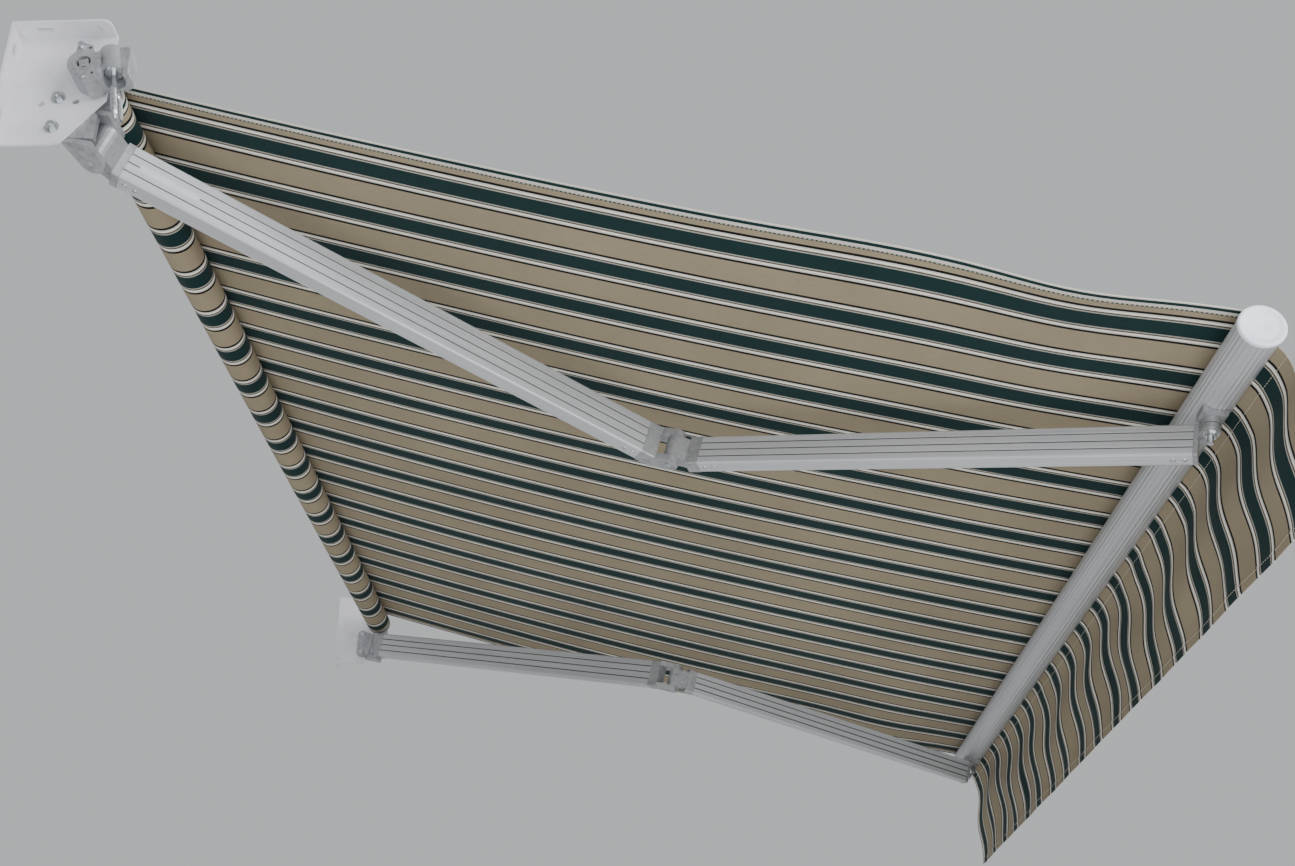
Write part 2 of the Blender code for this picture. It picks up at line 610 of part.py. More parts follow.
def upper_arm(side):
    """Tube, shoulder end, elbow fork, elbow pin, gas spring and cable of one upper arm."""
    name = SIDES[side]
    axis = axis_empty(name + "_shoulder_axis", in_plane(side, 0, 0, REST_UPPER))
    section = UPPER_SECTION
    tube_start = 0.046
    tube_end = UPPER_LENGTH - 0.058
    fork = UPPER_LENGTH - 0.030

    def add(label, bm, finish):
        node(name + label, for_side(bm, side, 1), finish, axis)

    add("_upper_arm_tube", arm_tube(section, tube_start, tube_end), "anodised_aluminium")
    block, spigot = arm_collar(section, 0.033, tube_start - CLEARANCE, tube_start + SPIGOT)
    barrel = knuckle(SHOULDER_RADIUS, section, 0.033, SHOULDER_HALF)
    bore = slab(circle(PIN_RADIUS + PIN_PLAY, 16), -0.05, 0.05)
    add("_shoulder_end", cut(fused(block, spigot, barrel), bore), "cast_aluminium")
    block, spigot = arm_collar(section, tube_end + CLEARANCE, fork, tube_end - SPIGOT)
    at_elbow = Matrix.Translation((UPPER_LENGTH, 0, 0))
    ear_high = section[1] / 2 + COLLAR_PROUD
    ears = [moved(slab(hull(circle(ELBOW_RADIUS + 0.002, 20)
                            + [(-0.031, PIVOT_FACE), (-0.031, PIVOT_FACE + section[0])]), *span), at_elbow)
            for span in ((ELBOW_HALF + CLEARANCE, ear_high), (-ear_high, -ELBOW_HALF - CLEARANCE))]
    bore = moved(slab(circle(PIN_RADIUS + PIN_PLAY, 16), -0.06, 0.06), at_elbow)
    add("_elbow_fork", cut(fused(block, spigot, *ears), bore), "cast_aluminium")
    pin = fused(slab(circle(PIN_RADIUS, 16), -ear_high - 0.0012, ear_high),
                slab(circle(PIN_RADIUS + 0.0035, 16), ear_high + CLEARANCE, ear_high + 0.0022),
                slab(circle(PIN_RADIUS - 0.001, 12), ear_high - 0.001, ear_high + 0.001))
    add("_elbow_pin", moved(pin, at_elbow), "zinc_plated_steel")
    middle = PIVOT_FACE + section[0] / 2
    cylinder_start = tube_start + SPIGOT + CLEARANCE
    cylinder_end = cylinder_start + SPRING_LENGTH
    rod_end = tube_end - SPIGOT - CLEARANCE
    place = Matrix.Translation((0, middle, 0))
    cylinder = along_x(slab(circle(SPRING_RADIUS, 20), cylinder_start, cylinder_end))
    add("_spring_cylinder", moved(cylinder, place), "black_steel")
    rod = along_x(slab(circle(SPRING_ROD, 12), cylinder_end + CLEARANCE, rod_end))
    add("_spring_rod", moved(rod, place), "zinc_plated_steel")


def forearm(side):
    """Tube, elbow knuckle and front end of one forearm."""
    name = SIDES[side]
    axis = axis_empty(name + "_elbow_axis", in_plane(side, ELBOW_AHEAD, ELBOW_INBOARD, REST_FORE))
    section = FORE_SECTION
    tube_start = 0.054
    tube_end = FORE_LENGTH - 0.026

    def add(label, bm, finish):
        node(name + label, for_side(bm, side, 1), finish, axis)

    add("_forearm_tube", arm_tube(section, tube_start, tube_end), "anodised_aluminium")
    block, spigot = arm_collar(section, 0.030, tube_start - CLEARANCE, tube_start + SPIGOT)
    barrel = knuckle(ELBOW_RADIUS, section, 0.030, ELBOW_HALF)
    bore = slab(circle(PIN_RADIUS + PIN_PLAY, 16), -0.05, 0.05)
    add("_elbow_knuckle", cut(fused(block, spigot, barrel), bore), "cast_aluminium")
    block, spigot = arm_collar(section, tube_end + CLEARANCE, FORE_LENGTH - 0.0185, tube_end - SPIGOT)
    play = OPEN_PIVOT_PLAY if side == RIGHT else PIN_PLAY
    ear = moved(slab(hull(circle(FRONT_BOLT + OPEN_PIVOT_PLAY + 0.0050, 20)
                          + [(-0.019, PIVOT_FACE), (-0.019, PIVOT_FACE + section[0])]), *FRONT_EAR),
                Matrix.Translation((FORE_LENGTH, 0, 0)))
    bore = moved(slab(circle(FRONT_BOLT + play, 16), -0.05, 0.05), Matrix.Translation((FORE_LENGTH, 0, 0)))
    add("_forearm_front_end", cut(fused(block, spigot, ear), bore), "cast_aluminium")


FRONT_EAR = (0.0095, 0.0210)       # heights of the forearm's front ear, from the arm's middle
FRONT_LUG = (0.0222, 0.0350)       # heights of the bracket's lug above it


def front_bracket(side):
    """Cast bracket that hangs the front pivot under the bar, with its pivot bolt and nut."""
    name = SIDES[side]
    pivot = front_pivot(LEFT)
    bar_y, bar_z = bar_axis()
    lug = moved(slab(circle(0.0158, 20), *FRONT_LUG), pivot)
    seat = Matrix.Translation((pivot.translation.x, bar_y, bar_z)) @ Matrix.Rotation(SLOPE, 4, "X")
    low = FORE_SECTION[1] / 2 + COLLAR_PROUD + 0.0018 - BAR_ABOVE_PIVOT
    saddle = along_x(slab([(-0.0200, -0.0240), (-0.0200, low + 0.004), (-0.0150, low), (0.0150, low),
                           (0.0210, low + 0.004), (0.0210, -0.0240)], -0.0160, 0.0160))
    bar_room = along_x(slab(circle(BAR_RADIUS + CLEARANCE, 48), -0.05, 0.05))
    body = fused(lug, moved(cut(saddle, bar_room), seat))
    stud_top = FRONT_LUG[1] + 0.0030
    bore = moved(slab(circle(FRONT_BOLT + CLEARANCE, 16), 0.0, stud_top + CLEARANCE), pivot)
    node(name + "_front_bracket", for_side(cut(body, bore), side, 0), "cast_aluminium")
    stud = slab(circle(FRONT_BOLT, 16), -0.0120, stud_top)
    node(name + "_front_stud", for_side(moved(stud, pivot), side, 0), "zinc_plated_steel")
    hole = [circle(FRONT_BOLT + CLEARANCE, 16)]
    flange_top = FRONT_EAR[0] - 0.0008
    washer = FRONT_BOLT + OPEN_PIVOT_PLAY + 0.0022
    nut = fused(slab(circle(washer, 20), flange_top - 0.0016, flange_top, hole),
                slab(circle(0.0092, 6), flange_top - 0.0085, flange_top - 0.0010, hole))
    node(name + "_front_nut", for_side(moved(nut, pivot), side, 0), "zinc_plated_steel")


# Front bar, cover and valance

def bar_loop():
    """Round outline with fine ribs, walked once round, into each slot and out again, in (y, z)."""
    slots = sorted((COVER_SLOT, VALANCE_SLOT))
    steps = 60
    half_mouth = math.asin(SLOT_MOUTH / 2 / BAR_RADIUS)
    half_room = math.asin(SLOT_ROOM / 2 / (BAR_RADIUS - SLOT_DEPTH / 2))
    neck = BAR_RADIUS - 0.0024
    floor = BAR_RADIUS - SLOT_DEPTH
    loop = []
    for i in range(steps):
        angle = 2 * math.pi * i / steps - math.pi
        while slots and slots[0] - 2 * math.pi / steps < angle:
            slot = slots.pop(0)
            loop += [(slot - half_mouth, BAR_RADIUS), (slot - half_mouth, neck), (slot - half_room, neck),
                     (slot - half_room, floor), (slot + half_room, floor), (slot + half_room, neck),
                     (slot + half_mouth, neck), (slot + half_mouth, BAR_RADIUS)]
        if any(abs(angle - slot) < 2 * math.pi / steps for slot in (COVER_SLOT, VALANCE_SLOT)):
            continue
        ribbed = angle < math.radians(-72) or angle > math.radians(155)
        loop.append((angle, BAR_RADIUS - (0.0009 if ribbed and i % 2 else 0.0)))
    return [(-radius * math.cos(angle), radius * math.sin(angle)) for angle, radius in loop]


def on_bar(angle, radius):
    """Point of the bar's section at an angle up from the front, in world Y and Z."""
    bar_y, bar_z = bar_axis()
    return (bar_y - radius * math.cos(angle), bar_z + radius * math.sin(angle))


def cover_line():
    """Middle line of the cover in (y, z): off the roll, down the slope, over the bar to its slot."""
    bar_y, bar_z = bar_axis()
    lift = CLOTH_THICK / 2 + CLEARANCE
    chord = math.atan2(-bar_z, -ROLLER_OUT - bar_y)
    leave = chord + COVER_SAG
    reach = chord - COVER_SAG
    off = ROLL_RADIUS + lift
    start = (-ROLLER_OUT - off * math.sin(leave), off * math.cos(leave))
    touch = math.pi / 2 - reach
    end = on_bar(touch, BAR_RADIUS + lift)
    span = (start[0] - end[0], start[1] - end[1])
    along = (span[1] - span[0] * math.tan(reach)) / (math.sin(leave) - math.cos(leave) * math.tan(reach))
    corner = (start[0] - along * math.cos(leave), start[1] - along * math.sin(leave))
    steps = 18
    line = []
    for i in range(steps + 1):
        t = i / steps
        line.append(tuple((1 - t) ** 2 * a + 2 * t * (1 - t) * c + t * t * b
                          for a, b, c in zip(start, end, corner)))
    turn = 5
    for i in range(1, turn + 1):
        line.append(on_bar(touch + (COVER_SLOT + math.radians(4) - touch) * i / turn, BAR_RADIUS + lift))
    return line


def valance_line():
    """Middle line of the valance in (y, z): from its rod out through the slot and straight down."""
    rod_top = BAR_RADIUS - SLOT_DEPTH + 2 * ROD_RADIUS + 2 * CLEARANCE
    mouth = on_bar(VALANCE_SLOT, BAR_RADIUS + 0.0010)
    steps = 5
    return [on_bar(VALANCE_SLOT, rod_top), mouth] + [
        (mouth[0] - 0.0012, mouth[1] - VALANCE_DROP * i / steps) for i in range(1, steps + 1)]


def cloth_sheet(line, columns, wave):
    """Thin closed sheet: a line in (y, z) swept along X, with a wave across it."""
    normals = []
    for i in range(len(line)):
        a, b = line[max(i - 1, 0)], line[min(i + 1, len(line) - 1)]
        length = math.hypot(b[0] - a[0], b[1] - a[1])
        normals.append(((b[1] - a[1]) / length, -(b[0] - a[0]) / length))
    bm = bmesh.new()
    skins = []
    for face in (0.5, -0.5):
        grid = []
        for c in range(columns + 1):
            x = -CLOTH_WIDTH / 2 + CLOTH_WIDTH * c / columns
            grid.append([bm.verts.new((x, y + n[0] * (face * CLOTH_THICK + wave(x, i)),
                                       z + n[1] * (face * CLOTH_THICK + wave(x, i))))
                         for i, ((y, z), n) in enumerate(zip(line, normals))])
        skins.append(grid)
    rows = len(line) - 1
    for grid in skins:
        for c in range(columns):
            for r in range(rows):
                bm.faces.new((grid[c][r], grid[c + 1][r], grid[c + 1][r + 1], grid[c][r + 1]))
    upper, lower = skins
    for c in range(columns):
        for r in (0, rows):
            bm.faces.new((upper[c][r], upper[c + 1][r], lower[c + 1][r], lower[c][r]))
    for r in range(rows):
        for c in (0, columns):
            bm.faces.new((upper[c][r], upper[c][r + 1], lower[c][r + 1], lower[c][r]))
    bmesh.ops.recalc_face_normals(bm, faces=bm.faces)
    return bm


def valance_wave(x, row):
    """Soft folds of the valance, growing towards its free edge."""
    fall = min(1.0, max(0, row - 1) / 4)
    phase = 2 * math.pi * VALANCE_WAVES * x / CLOTH_WIDTH
    return VALANCE_WAVE * fall * (math.sin(phase) + 0.35 * math.sin(2.3 * phase + 1.0)) / 1.35


def front_bar():
    """Bar with caps, rods in its slots, valance and cover."""
    bar_y, bar_z = bar_axis()
    axis = Matrix.Translation((0, bar_y, bar_z))
    end = CLOTH_WIDTH / 2 + BAR_OVERHANG
    node("front_bar", moved(along_x(slab(bar_loop(), -end, end, [circle(BAR_BORE, 32)])), axis),
         "anodised_aluminium")
    for side in SIDES:
        cap = turned([(0, -0.012), (BAR_BORE - 0.0035, -0.012), (BAR_BORE - CLEARANCE, -0.010),
                      (BAR_BORE - CLEARANCE, CLEARANCE), (BAR_RADIUS + 0.0008, CLEARANCE),
                      (BAR_RADIUS + 0.0012, 0.0045), (BAR_RADIUS - 0.0015, CAP_THICK),
                      (BAR_RADIUS - 0.0060, CAP_THICK - 0.0002), (BAR_RADIUS - 0.0105, CAP_THICK - 0.0022),
                      (0, CAP_THICK - 0.0016)], 30)
        place = axis @ Matrix.Translation((-end, 0, 0)) @ Matrix.Rotation(-math.pi / 2, 4, "Y")
        node(SIDES[side] + "_end_cap", for_side(moved(cap, place), side, 0), "white_plastic")
    for label, slot in (("cover_rod", COVER_SLOT), ("valance_rod", VALANCE_SLOT)):
        place = Matrix.Translation((0, *on_bar(slot, BAR_RADIUS - SLOT_DEPTH + ROD_RADIUS + CLEARANCE)))
        half = CLOTH_WIDTH / 2
        node(label, moved(along_x(slab(circle(ROD_RADIUS, 10), -half, half)), place), "white_plastic")
    node("valance", cloth_sheet(valance_line(), VALANCE_WAVES * 8, valance_wave), "awning_cloth")
    node("awning_cover", cloth_sheet(cover_line(), 6, lambda x, row: 0.0), "awning_cloth")


def main():
    clear_scene()
    gearbox()
    crank_eye()
    roller()
    for side in SIDES:
        side_plate(side)
        shoulder_bracket(side)
        upper_arm(side)
        forearm(side)
        front_bracket(side)
    front_bar()


main()
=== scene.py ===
"""Finishes, cloth and small hardware of a folding-arm awning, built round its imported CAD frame."""

import functools
import json
import math

import bmesh
import bpy
from bpy.props import FloatProperty, FloatVectorProperty, IntProperty, PointerProperty
from mathutils import Matrix, Vector, noise

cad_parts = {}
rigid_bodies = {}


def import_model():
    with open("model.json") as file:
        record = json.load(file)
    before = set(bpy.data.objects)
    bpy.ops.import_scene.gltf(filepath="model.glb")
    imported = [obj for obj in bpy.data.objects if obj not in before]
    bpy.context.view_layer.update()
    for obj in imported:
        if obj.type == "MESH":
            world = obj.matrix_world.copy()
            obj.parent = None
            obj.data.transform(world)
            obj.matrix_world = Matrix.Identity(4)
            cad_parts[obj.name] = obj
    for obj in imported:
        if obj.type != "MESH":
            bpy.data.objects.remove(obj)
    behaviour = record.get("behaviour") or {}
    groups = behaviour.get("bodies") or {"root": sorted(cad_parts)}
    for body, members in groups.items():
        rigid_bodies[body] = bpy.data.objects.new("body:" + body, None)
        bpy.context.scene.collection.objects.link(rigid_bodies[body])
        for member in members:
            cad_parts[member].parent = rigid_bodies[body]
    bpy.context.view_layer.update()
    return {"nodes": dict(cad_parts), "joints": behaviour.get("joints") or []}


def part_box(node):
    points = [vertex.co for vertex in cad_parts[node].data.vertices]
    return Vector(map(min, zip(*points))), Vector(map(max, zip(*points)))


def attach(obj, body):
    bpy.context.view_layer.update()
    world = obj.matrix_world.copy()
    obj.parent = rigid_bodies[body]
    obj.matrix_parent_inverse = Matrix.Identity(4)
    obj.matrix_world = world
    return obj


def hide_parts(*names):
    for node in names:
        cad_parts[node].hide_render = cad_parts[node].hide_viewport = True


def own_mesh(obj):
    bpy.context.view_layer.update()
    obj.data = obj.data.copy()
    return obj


bl_info = {
    "name": "Folding-arm awning dresser",
    "version": (1, 0, 0),
    "blender": (4, 5, 0),
    "location": "3D View > Sidebar > Awning",
    "description": "Builds the cloth, fasteners and finishes of a patio awning round its packed frame",
    "category": "Object",
}

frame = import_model()
NODES = frame["nodes"]
JOINTS = {joint["name"]: joint for joint in frame["joints"]}
SIDES = {"left": -1, "right": 1}
SLOPE = math.radians(15.0)
DOWN_SLOPE = Vector((0, -math.cos(SLOPE), -math.sin(SLOPE)))
OFF_SLOPE = Vector((0, -math.sin(SLOPE), math.cos(SLOPE)))
CLOTH_THICK = 0.0008
ARM_FACE = 0.002              # pivot line to the near face of an arm's tube, as in the CAD
COVER_SLOT = math.radians(38.0)
VALANCE_SLOT = math.radians(-48.0)
BAR_TOP = 0.0363              # middle of the bar to the cloth that lies on it
BAR_MOUTH = 0.0370            # middle of the bar to where the valance leaves its slot
VALANCE_NECK = 0.0334         # middle of the bar to the valance's start inside the slot
VALANCE_HEM = 0.018
STITCH_THREAD = 0.0006        # radius of the sewing thread
ELBOW_RATIO = 2.105           # elbow's turn for each turn of the shoulder, as in the CAD
COVER_BEND = math.radians(3)  # cover's slope at its ends, off the straight line between them
ARM_SIZES = {"upper_arm": (0.034, 0.072), "forearm": (0.030, 0.062)}
ARM_ENDS = {"upper_arm": ("shoulder", "elbow"), "forearm": ("elbow", "front")}


def linear(code):
    """sRGB hex colour as linear RGB."""
    values = [int(code[i:i + 2], 16) / 255 for i in (1, 3, 5)]
    return tuple(v / 12.92 if v <= 0.04045 else ((v + 0.055) / 1.055) ** 2.4 for v in values)


def rgba(color):
    return (*color, 1.0)


def colour(label, text, code):
    return FloatVectorProperty(name=label, description=text, subtype="COLOR", size=3, min=0, max=1,
                               default=linear(code))


def length(label, text, value):
    return FloatProperty(name=label, description=text, subtype="DISTANCE", unit="LENGTH", default=value,
                         precision=4)


class AwningClothSettings(bpy.types.PropertyGroup):
    """Sizes and colours of the striped cloth."""
    pitch: length("Stripe pitch", "Width of one repeat of the stripes", 0.1323)
    first: length("First stripe", "Cloth's left edge to the middle of the first green band", 0.0714)
    thread: length("Thread spacing", "Spacing of the woven threads, drawn coarser than real", 0.0016)
    hem: length("Side hem", "Width of the doubled cloth along the cover's sides", 0.022)
    stitch: length("Stitch spacing", "Distance from one stitch to the next", 0.0075)
    ripple: length("Ripple", "Height of the cover's slack ripples", 0.0045)
    slack: length("Front slack", "Dip of the cover's corners just before the bar", 0.016)
    fold: length("Valance fold", "Depth of the valance's soft folds", 0.0060)
    buckle: length("Valance buckle", "Depth of the valance's creases across its fall", 0.0055)
    folds: IntProperty(name="Valance folds", description="Folds across the valance", default=9, min=1)
    ground: colour("Ground", "Beige between the stripes", "#978b74")
    band: colour("Band", "Dark green band", "#0a2b2c")
    cream: colour("Cream", "Light stripes beside the band", "#f6f2e8")
    line: colour("Line", "Thin black lines", "#020204")


class AwningMetalSettings(bpy.types.PropertyGroup):
    """Sizes and colours of metal, plastic and fasteners."""
    screw: length("Screw head", "Diameter of the screws at the arms' ends", 0.0086)
    thread_pitch: length("Thread pitch", "Pitch drawn on bolts that show their thread", 0.00125)
    label_length: length("Label length", "Length of the blank label on the arm", 0.105)
    coat: colour("Powder coat", "Side plates", "#dcdce2")
    casting: colour("Casting", "Die-cast aluminium", "#b0b2b6")
    extrusion: colour("Extrusion", "Anodised arms and bar", "#c6c8cd")
    zinc: colour("Zinc", "Zinc-plated steel", "#d3d8db")
    plastic: colour("Plastic", "Moulded caps", "#eceefb")


class AwningStageSettings(bpy.types.PropertyGroup):
    """Floor, lights and camera."""
    floor_drop: length("Floor", "Height of the floor below the roller", -2.6)
    floor: colour("Floor colour", "Pale studio floor", "#dcdcda")
    sky: FloatProperty(name="Surround", description="Strength of the soft surround light",
                       default=0.62, min=0)
    key: FloatProperty(name="Key", description="Power of the big soft light", subtype="POWER", default=230,
                       min=0)


# Materials

def put(tree, kind, links=None, values=None, **settings):
    """Adds a node with its settings, socket values and the sockets that feed it."""
    made = tree.nodes.new(kind)
    for key, value in settings.items():
        setattr(made, key, value)
    for key, value in (values or {}).items():
        made.inputs[key].default_value = value
    for key, source in (links or {}).items():
        tree.links.new(source, made.inputs[key])
    return made


def calc(tree, operation, *sides):
    """Result of one calculation; each side is a socket or a number."""
    links = {i: side for i, side in enumerate(sides) if isinstance(side, bpy.types.NodeSocket)}
    values = {i: side for i, side in enumerate(sides) if i not in links}
    return put(tree, "ShaderNodeMath", links, values, operation=operation).outputs[0]


def scaled(tree, source, scale):
    """A place stretched along its three axes."""
    return put(tree, "ShaderNodeVectorMath", {0: source}, {1: scale}, operation="MULTIPLY").outputs[0]


def shader_material(name, **values):
    """Material with one Principled shader, whose constants sit on its own sockets."""
    material = bpy.data.materials.new(name)
    material.use_nodes = True
    tree = material.node_tree
    tree.nodes.clear()
    shader = put(tree, "ShaderNodeBsdfPrincipled", values=values)
    put(tree, "ShaderNodeOutputMaterial", {"Surface": shader.outputs[0]})
    return material, tree, shader


def place_of(tree, scale=(1, 1, 1), turn=(0, 0, 0)):
    """Object coordinates in metres, turned and stretched."""
    where = put(tree, "ShaderNodeTexCoord")
    turned = put(tree, "ShaderNodeVectorRotate", {"Vector": where.outputs["Object"]},
                 rotation_type="EULER_XYZ", values={"Rotation": turn})
    return scaled(tree, turned.outputs[0], scale)


def grain(tree, where, scale, detail=3.0, rough=0.55):
    return put(tree, "ShaderNodeTexNoise", {"Vector": where},
               {"Scale": scale, "Detail": detail, "Roughness": rough}).outputs["Fac"]


def ramp(tree, source, stops, mode="LINEAR"):
    made = put(tree, "ShaderNodeValToRGB", {"Fac": source})
    made.color_ramp.interpolation = mode
    points = made.color_ramp.elements
    while len(points) < len(stops):
        points.new(0.5)
    for point, (at, color) in zip(points, stops):
        point.position = at
        point.color = color if len(color) == 4 else rgba(color)
    return made.outputs["Color"]


def spread(tree, source, low, high, start=0.35, end=0.65):
    return put(tree, "ShaderNodeMapRange", {"Value": source},
               {"From Min": start, "From Max": end, "To Min": low, "To Max": high}).outputs["Result"]


def shade(color, share):
    return tuple(min(1.0, v * share) for v in color)


def bump(tree, shader, height, distance, strength=1.0):
    made = put(tree, "ShaderNodeBump", {"Height": height}, {"Strength": strength, "Distance": distance})
    tree.links.new(made.outputs[0], shader.inputs["Normal"])


def powder_coat(color):
    """Light grey polyester powder on folded steel: fine orange peel 1.5 mm across, faint dust."""
    material, tree, shader = shader_material("powder coated steel", Metallic=0.0, IOR=1.5)
    where = place_of(tree)
    cloudy = grain(tree, where, 14, 4)
    peel = grain(tree, where, 650, 2)
    tree.links.new(ramp(tree, cloudy, [(0.30, shade(color, 0.86)), (0.62, color)]),
                   shader.inputs["Base Color"])
    tree.links.new(spread(tree, cloudy, 0.46, 0.34), shader.inputs["Roughness"])
    bump(tree, shader, peel, 0.0002, 0.5)
    return material


def die_cast(color):
    """Tumbled die-cast aluminium: mottled grey, 2 mm flow marks, worn bright on the high spots."""
    material, tree, shader = shader_material("tumbled die cast aluminium", Metallic=0.60)
    where = place_of(tree)
    flow = grain(tree, where, 55, 5, 0.65)
    pits = grain(tree, where, 480, 3)
    tree.links.new(ramp(tree, flow, [(0.28, shade(color, 0.62)), (0.50, shade(color, 0.90)),
                                     (0.72, shade(color, 1.12))]), shader.inputs["Base Color"])
    tree.links.new(spread(tree, flow, 0.58, 0.36), shader.inputs["Roughness"])
    bump(tree, shader, pits, 0.0004, 0.6)
    return material


def drawn_aluminium(name, color, turn, groove_shade=None):
    """Anodised extrusion: hair-fine die lines along its length, cool satin grey, painted shade in its
    grooves.
    """
    material, tree, shader = shader_material(name, Metallic=0.45)
    along = place_of(tree, (1.2, 420, 420), turn)
    die_lines = grain(tree, along, 1, 2, 0.6)
    patches = grain(tree, place_of(tree, (1.5, 9, 9), turn), 1, 3)
    mixed = calc(tree, "MULTIPLY", calc(tree, "ADD", die_lines, patches), 0.5)
    tone = ramp(tree, mixed, [(0.36, shade(color, 0.84)), (0.52, color), (0.66, shade(color, 1.12))])
    # Painted shade: dark lines along the tube's grooves, where shade falls, at the given height and spacing.
    if groove_shade:
        level, step = groove_shade
        height = put(tree, "ShaderNodeSeparateXYZ", {0: place_of(tree, (1, 1, 1), turn)}).outputs[2]
        lifted = calc(tree, "ADD", height, -level)
        near = calc(tree, "LESS_THAN", calc(tree, "PINGPONG", lifted, step / 2), 0.0013)
        below = calc(tree, "LESS_THAN", calc(tree, "ABSOLUTE", lifted), step * 1.3)
        inside = calc(tree, "MULTIPLY", near, below)
        tone = put(tree, "ShaderNodeMix", {0: inside, 6: tone}, {7: rgba(shade(color, 0.16))},
                   data_type="RGBA").outputs[2]
    tree.links.new(tone, shader.inputs["Base Color"])
    tree.links.new(spread(tree, die_lines, 0.33, 0.46), shader.inputs["Roughness"])
    bump(tree, shader, die_lines, 0.00012, 0.5)
    return material


def plated_zinc(name, color, dull):
    """Zinc plate: bluish bright metal, clouded where it was handled; dull is the hot-dip spangle."""
    material, tree, shader = shader_material(name, Metallic=0.95)
    where = place_of(tree)
    if dull:
        cells = put(tree, "ShaderNodeTexVoronoi", {"Vector": where}, {"Scale": 230.0}).outputs["Distance"]
    else:
        cells = grain(tree, where, 120, 4)
    tree.links.new(ramp(tree, cells, [(0.25, shade(color, 0.66)), (0.60, color)]),
                   shader.inputs["Base Color"])
    tree.links.new(spread(tree, cells, 0.46 if dull else 0.34, 0.30 if dull else 0.20),
                   shader.inputs["Roughness"])
    bump(tree, shader, grain(tree, where, 900, 2), 0.0001, 0.4)
    return material


def moulded(name, color, rough):
    """Moulded plastic: even colour, fine spark-eroded texture, softly glossy."""
    material, tree, shader = shader_material(name, Metallic=0.0, IOR=1.49)
    where = place_of(tree)
    tree.links.new(ramp(tree, grain(tree, where, 30, 3), [(0.3, shade(color, 0.92)), (0.7, color)]),
                   shader.inputs["Base Color"])
    tree.links.new(spread(tree, grain(tree, where, 260, 2), rough - 0.05, rough + 0.06),
                   shader.inputs["Roughness"])
    bump(tree, shader, grain(tree, where, 1500, 1), 0.00006, 0.4)
    return material


def dark_paint():
    """Black paint on the spring cylinders, lightly scuffed."""
    material, tree, shader = shader_material("black paint on steel", Metallic=0.0, IOR=1.5)
    scuff = grain(tree, place_of(tree), 90, 4)
    tree.links.new(ramp(tree, scuff, [(0.4, linear("#0c0d0e")), (0.75, linear("#34363a"))]),
                   shader.inputs["Base Color"])
    tree.links.new(spread(tree, scuff, 0.25, 0.5), shader.inputs["Roughness"])
    return material


def cut_brass():
    """Machined brass of the worm wheel, greased and a little dull."""
    material, tree, shader = shader_material("machined brass", Metallic=1.0)
    film = grain(tree, place_of(tree), 70, 4)
    tree.links.new(ramp(tree, film, [(0.3, linear("#8a6a2c")), (0.7, linear("#c9a355"))]),
                   shader.inputs["Base Color"])
    tree.links.new(spread(tree, film, 0.45, 0.28), shader.inputs["Roughness"])
    return material


def printed_blank():
    """Blank label: plain satin film, no words on it."""
    material, tree, shader = shader_material("blank satin label film", Metallic=0.0, IOR=1.46)
    film = grain(tree, place_of(tree), 60, 2)
    tree.links.new(ramp(tree, film, [(0.3, linear("#c4c7ca")), (0.7, linear("#d4d6d9"))]),
                   shader.inputs["Base Color"])
    tree.links.new(spread(tree, film, 0.32, 0.40), shader.inputs["Roughness"])
    return material


def striped_cloth(name, cloth, edges=False):
    """Woven acrylic in stripes read from its own UV map in metres: u across the stripes, v along."""
    material, tree, shader = shader_material(name, Metallic=0.0, IOR=1.45, **{
        "Sheen Weight": 0.06, "Sheen Roughness": 0.5, "Specular IOR Level": 0.15})
    uv = put(tree, "ShaderNodeUVMap", uv_map="cloth")
    parts = put(tree, "ShaderNodeSeparateXYZ", {0: uv.outputs[0]})
    across, along = parts.outputs[0], parts.outputs[1]
    share = calc(tree, "DIVIDE", calc(tree, "ADD", across, -cloth.first), cloth.pitch)
    phase = calc(tree, "FRACT", calc(tree, "ADD", share, 0.5))
    ground, band, cream, line = (tuple(c) for c in (cloth.ground, cloth.band, cloth.cream, cloth.line))
    brown, pale, dull = shade(ground, 0.28), shade(cream, 0.68), shade(cream, 0.42)
    stops = [(0.0, ground), (0.2120, line), (0.2570, pale), (0.2800, cream), (0.3150, brown),
             (0.3400, dull), (0.3640, band), (0.6360, dull), (0.6600, brown),
             (0.6850, cream), (0.7200, pale), (0.7430, line), (0.7880, ground)]
    stripes = ramp(tree, phase, stops, "CONSTANT")
    if edges:
        far = calc(tree, "GREATER_THAN", across, edges)
        mirrored = calc(tree, "SUBTRACT", 2 * edges, across)
        near = put(tree, "ShaderNodeMix", {0: far, 2: across, 3: mirrored}, data_type="FLOAT").outputs[0]
        inward = calc(tree, "DIVIDE", near, 0.1)
        border = ramp(tree, inward, [(0.0, pale), (0.025, band), (0.095, pale), (0.165, band),
                                     (0.200, ground)], "CONSTANT")
        inside = calc(tree, "LESS_THAN", inward, 0.28)
        stripes = put(tree, "ShaderNodeMix", {0: inside, 6: stripes, 7: border},
                      data_type="RGBA").outputs[2]
    threads = [calc(tree, "SINE", calc(tree, "MULTIPLY", source, 2 * math.pi / cloth.thread))
               for source in (across, along)]
    weave = calc(tree, "MULTIPLY", *threads)
    slub = grain(tree, scaled(tree, uv.outputs[0], (900, 40, 1)), 1, 3)
    weather = grain(tree, scaled(tree, uv.outputs[0], (2.2, 3.4, 1)), 1, 4)
    tone = calc(tree, "MULTIPLY", spread(tree, slub, 0.93, 1.05), spread(tree, weather, 0.90, 1.04))
    worn = put(tree, "ShaderNodeVectorMath", {0: stripes, 3: tone}, operation="SCALE")
    tree.links.new(worn.outputs[0], shader.inputs["Base Color"])
    tree.links.new(spread(tree, slub, 0.86, 0.78), shader.inputs["Roughness"])
    bump(tree, shader, weave, 0.00025, 0.45)
    return material


# Shapes

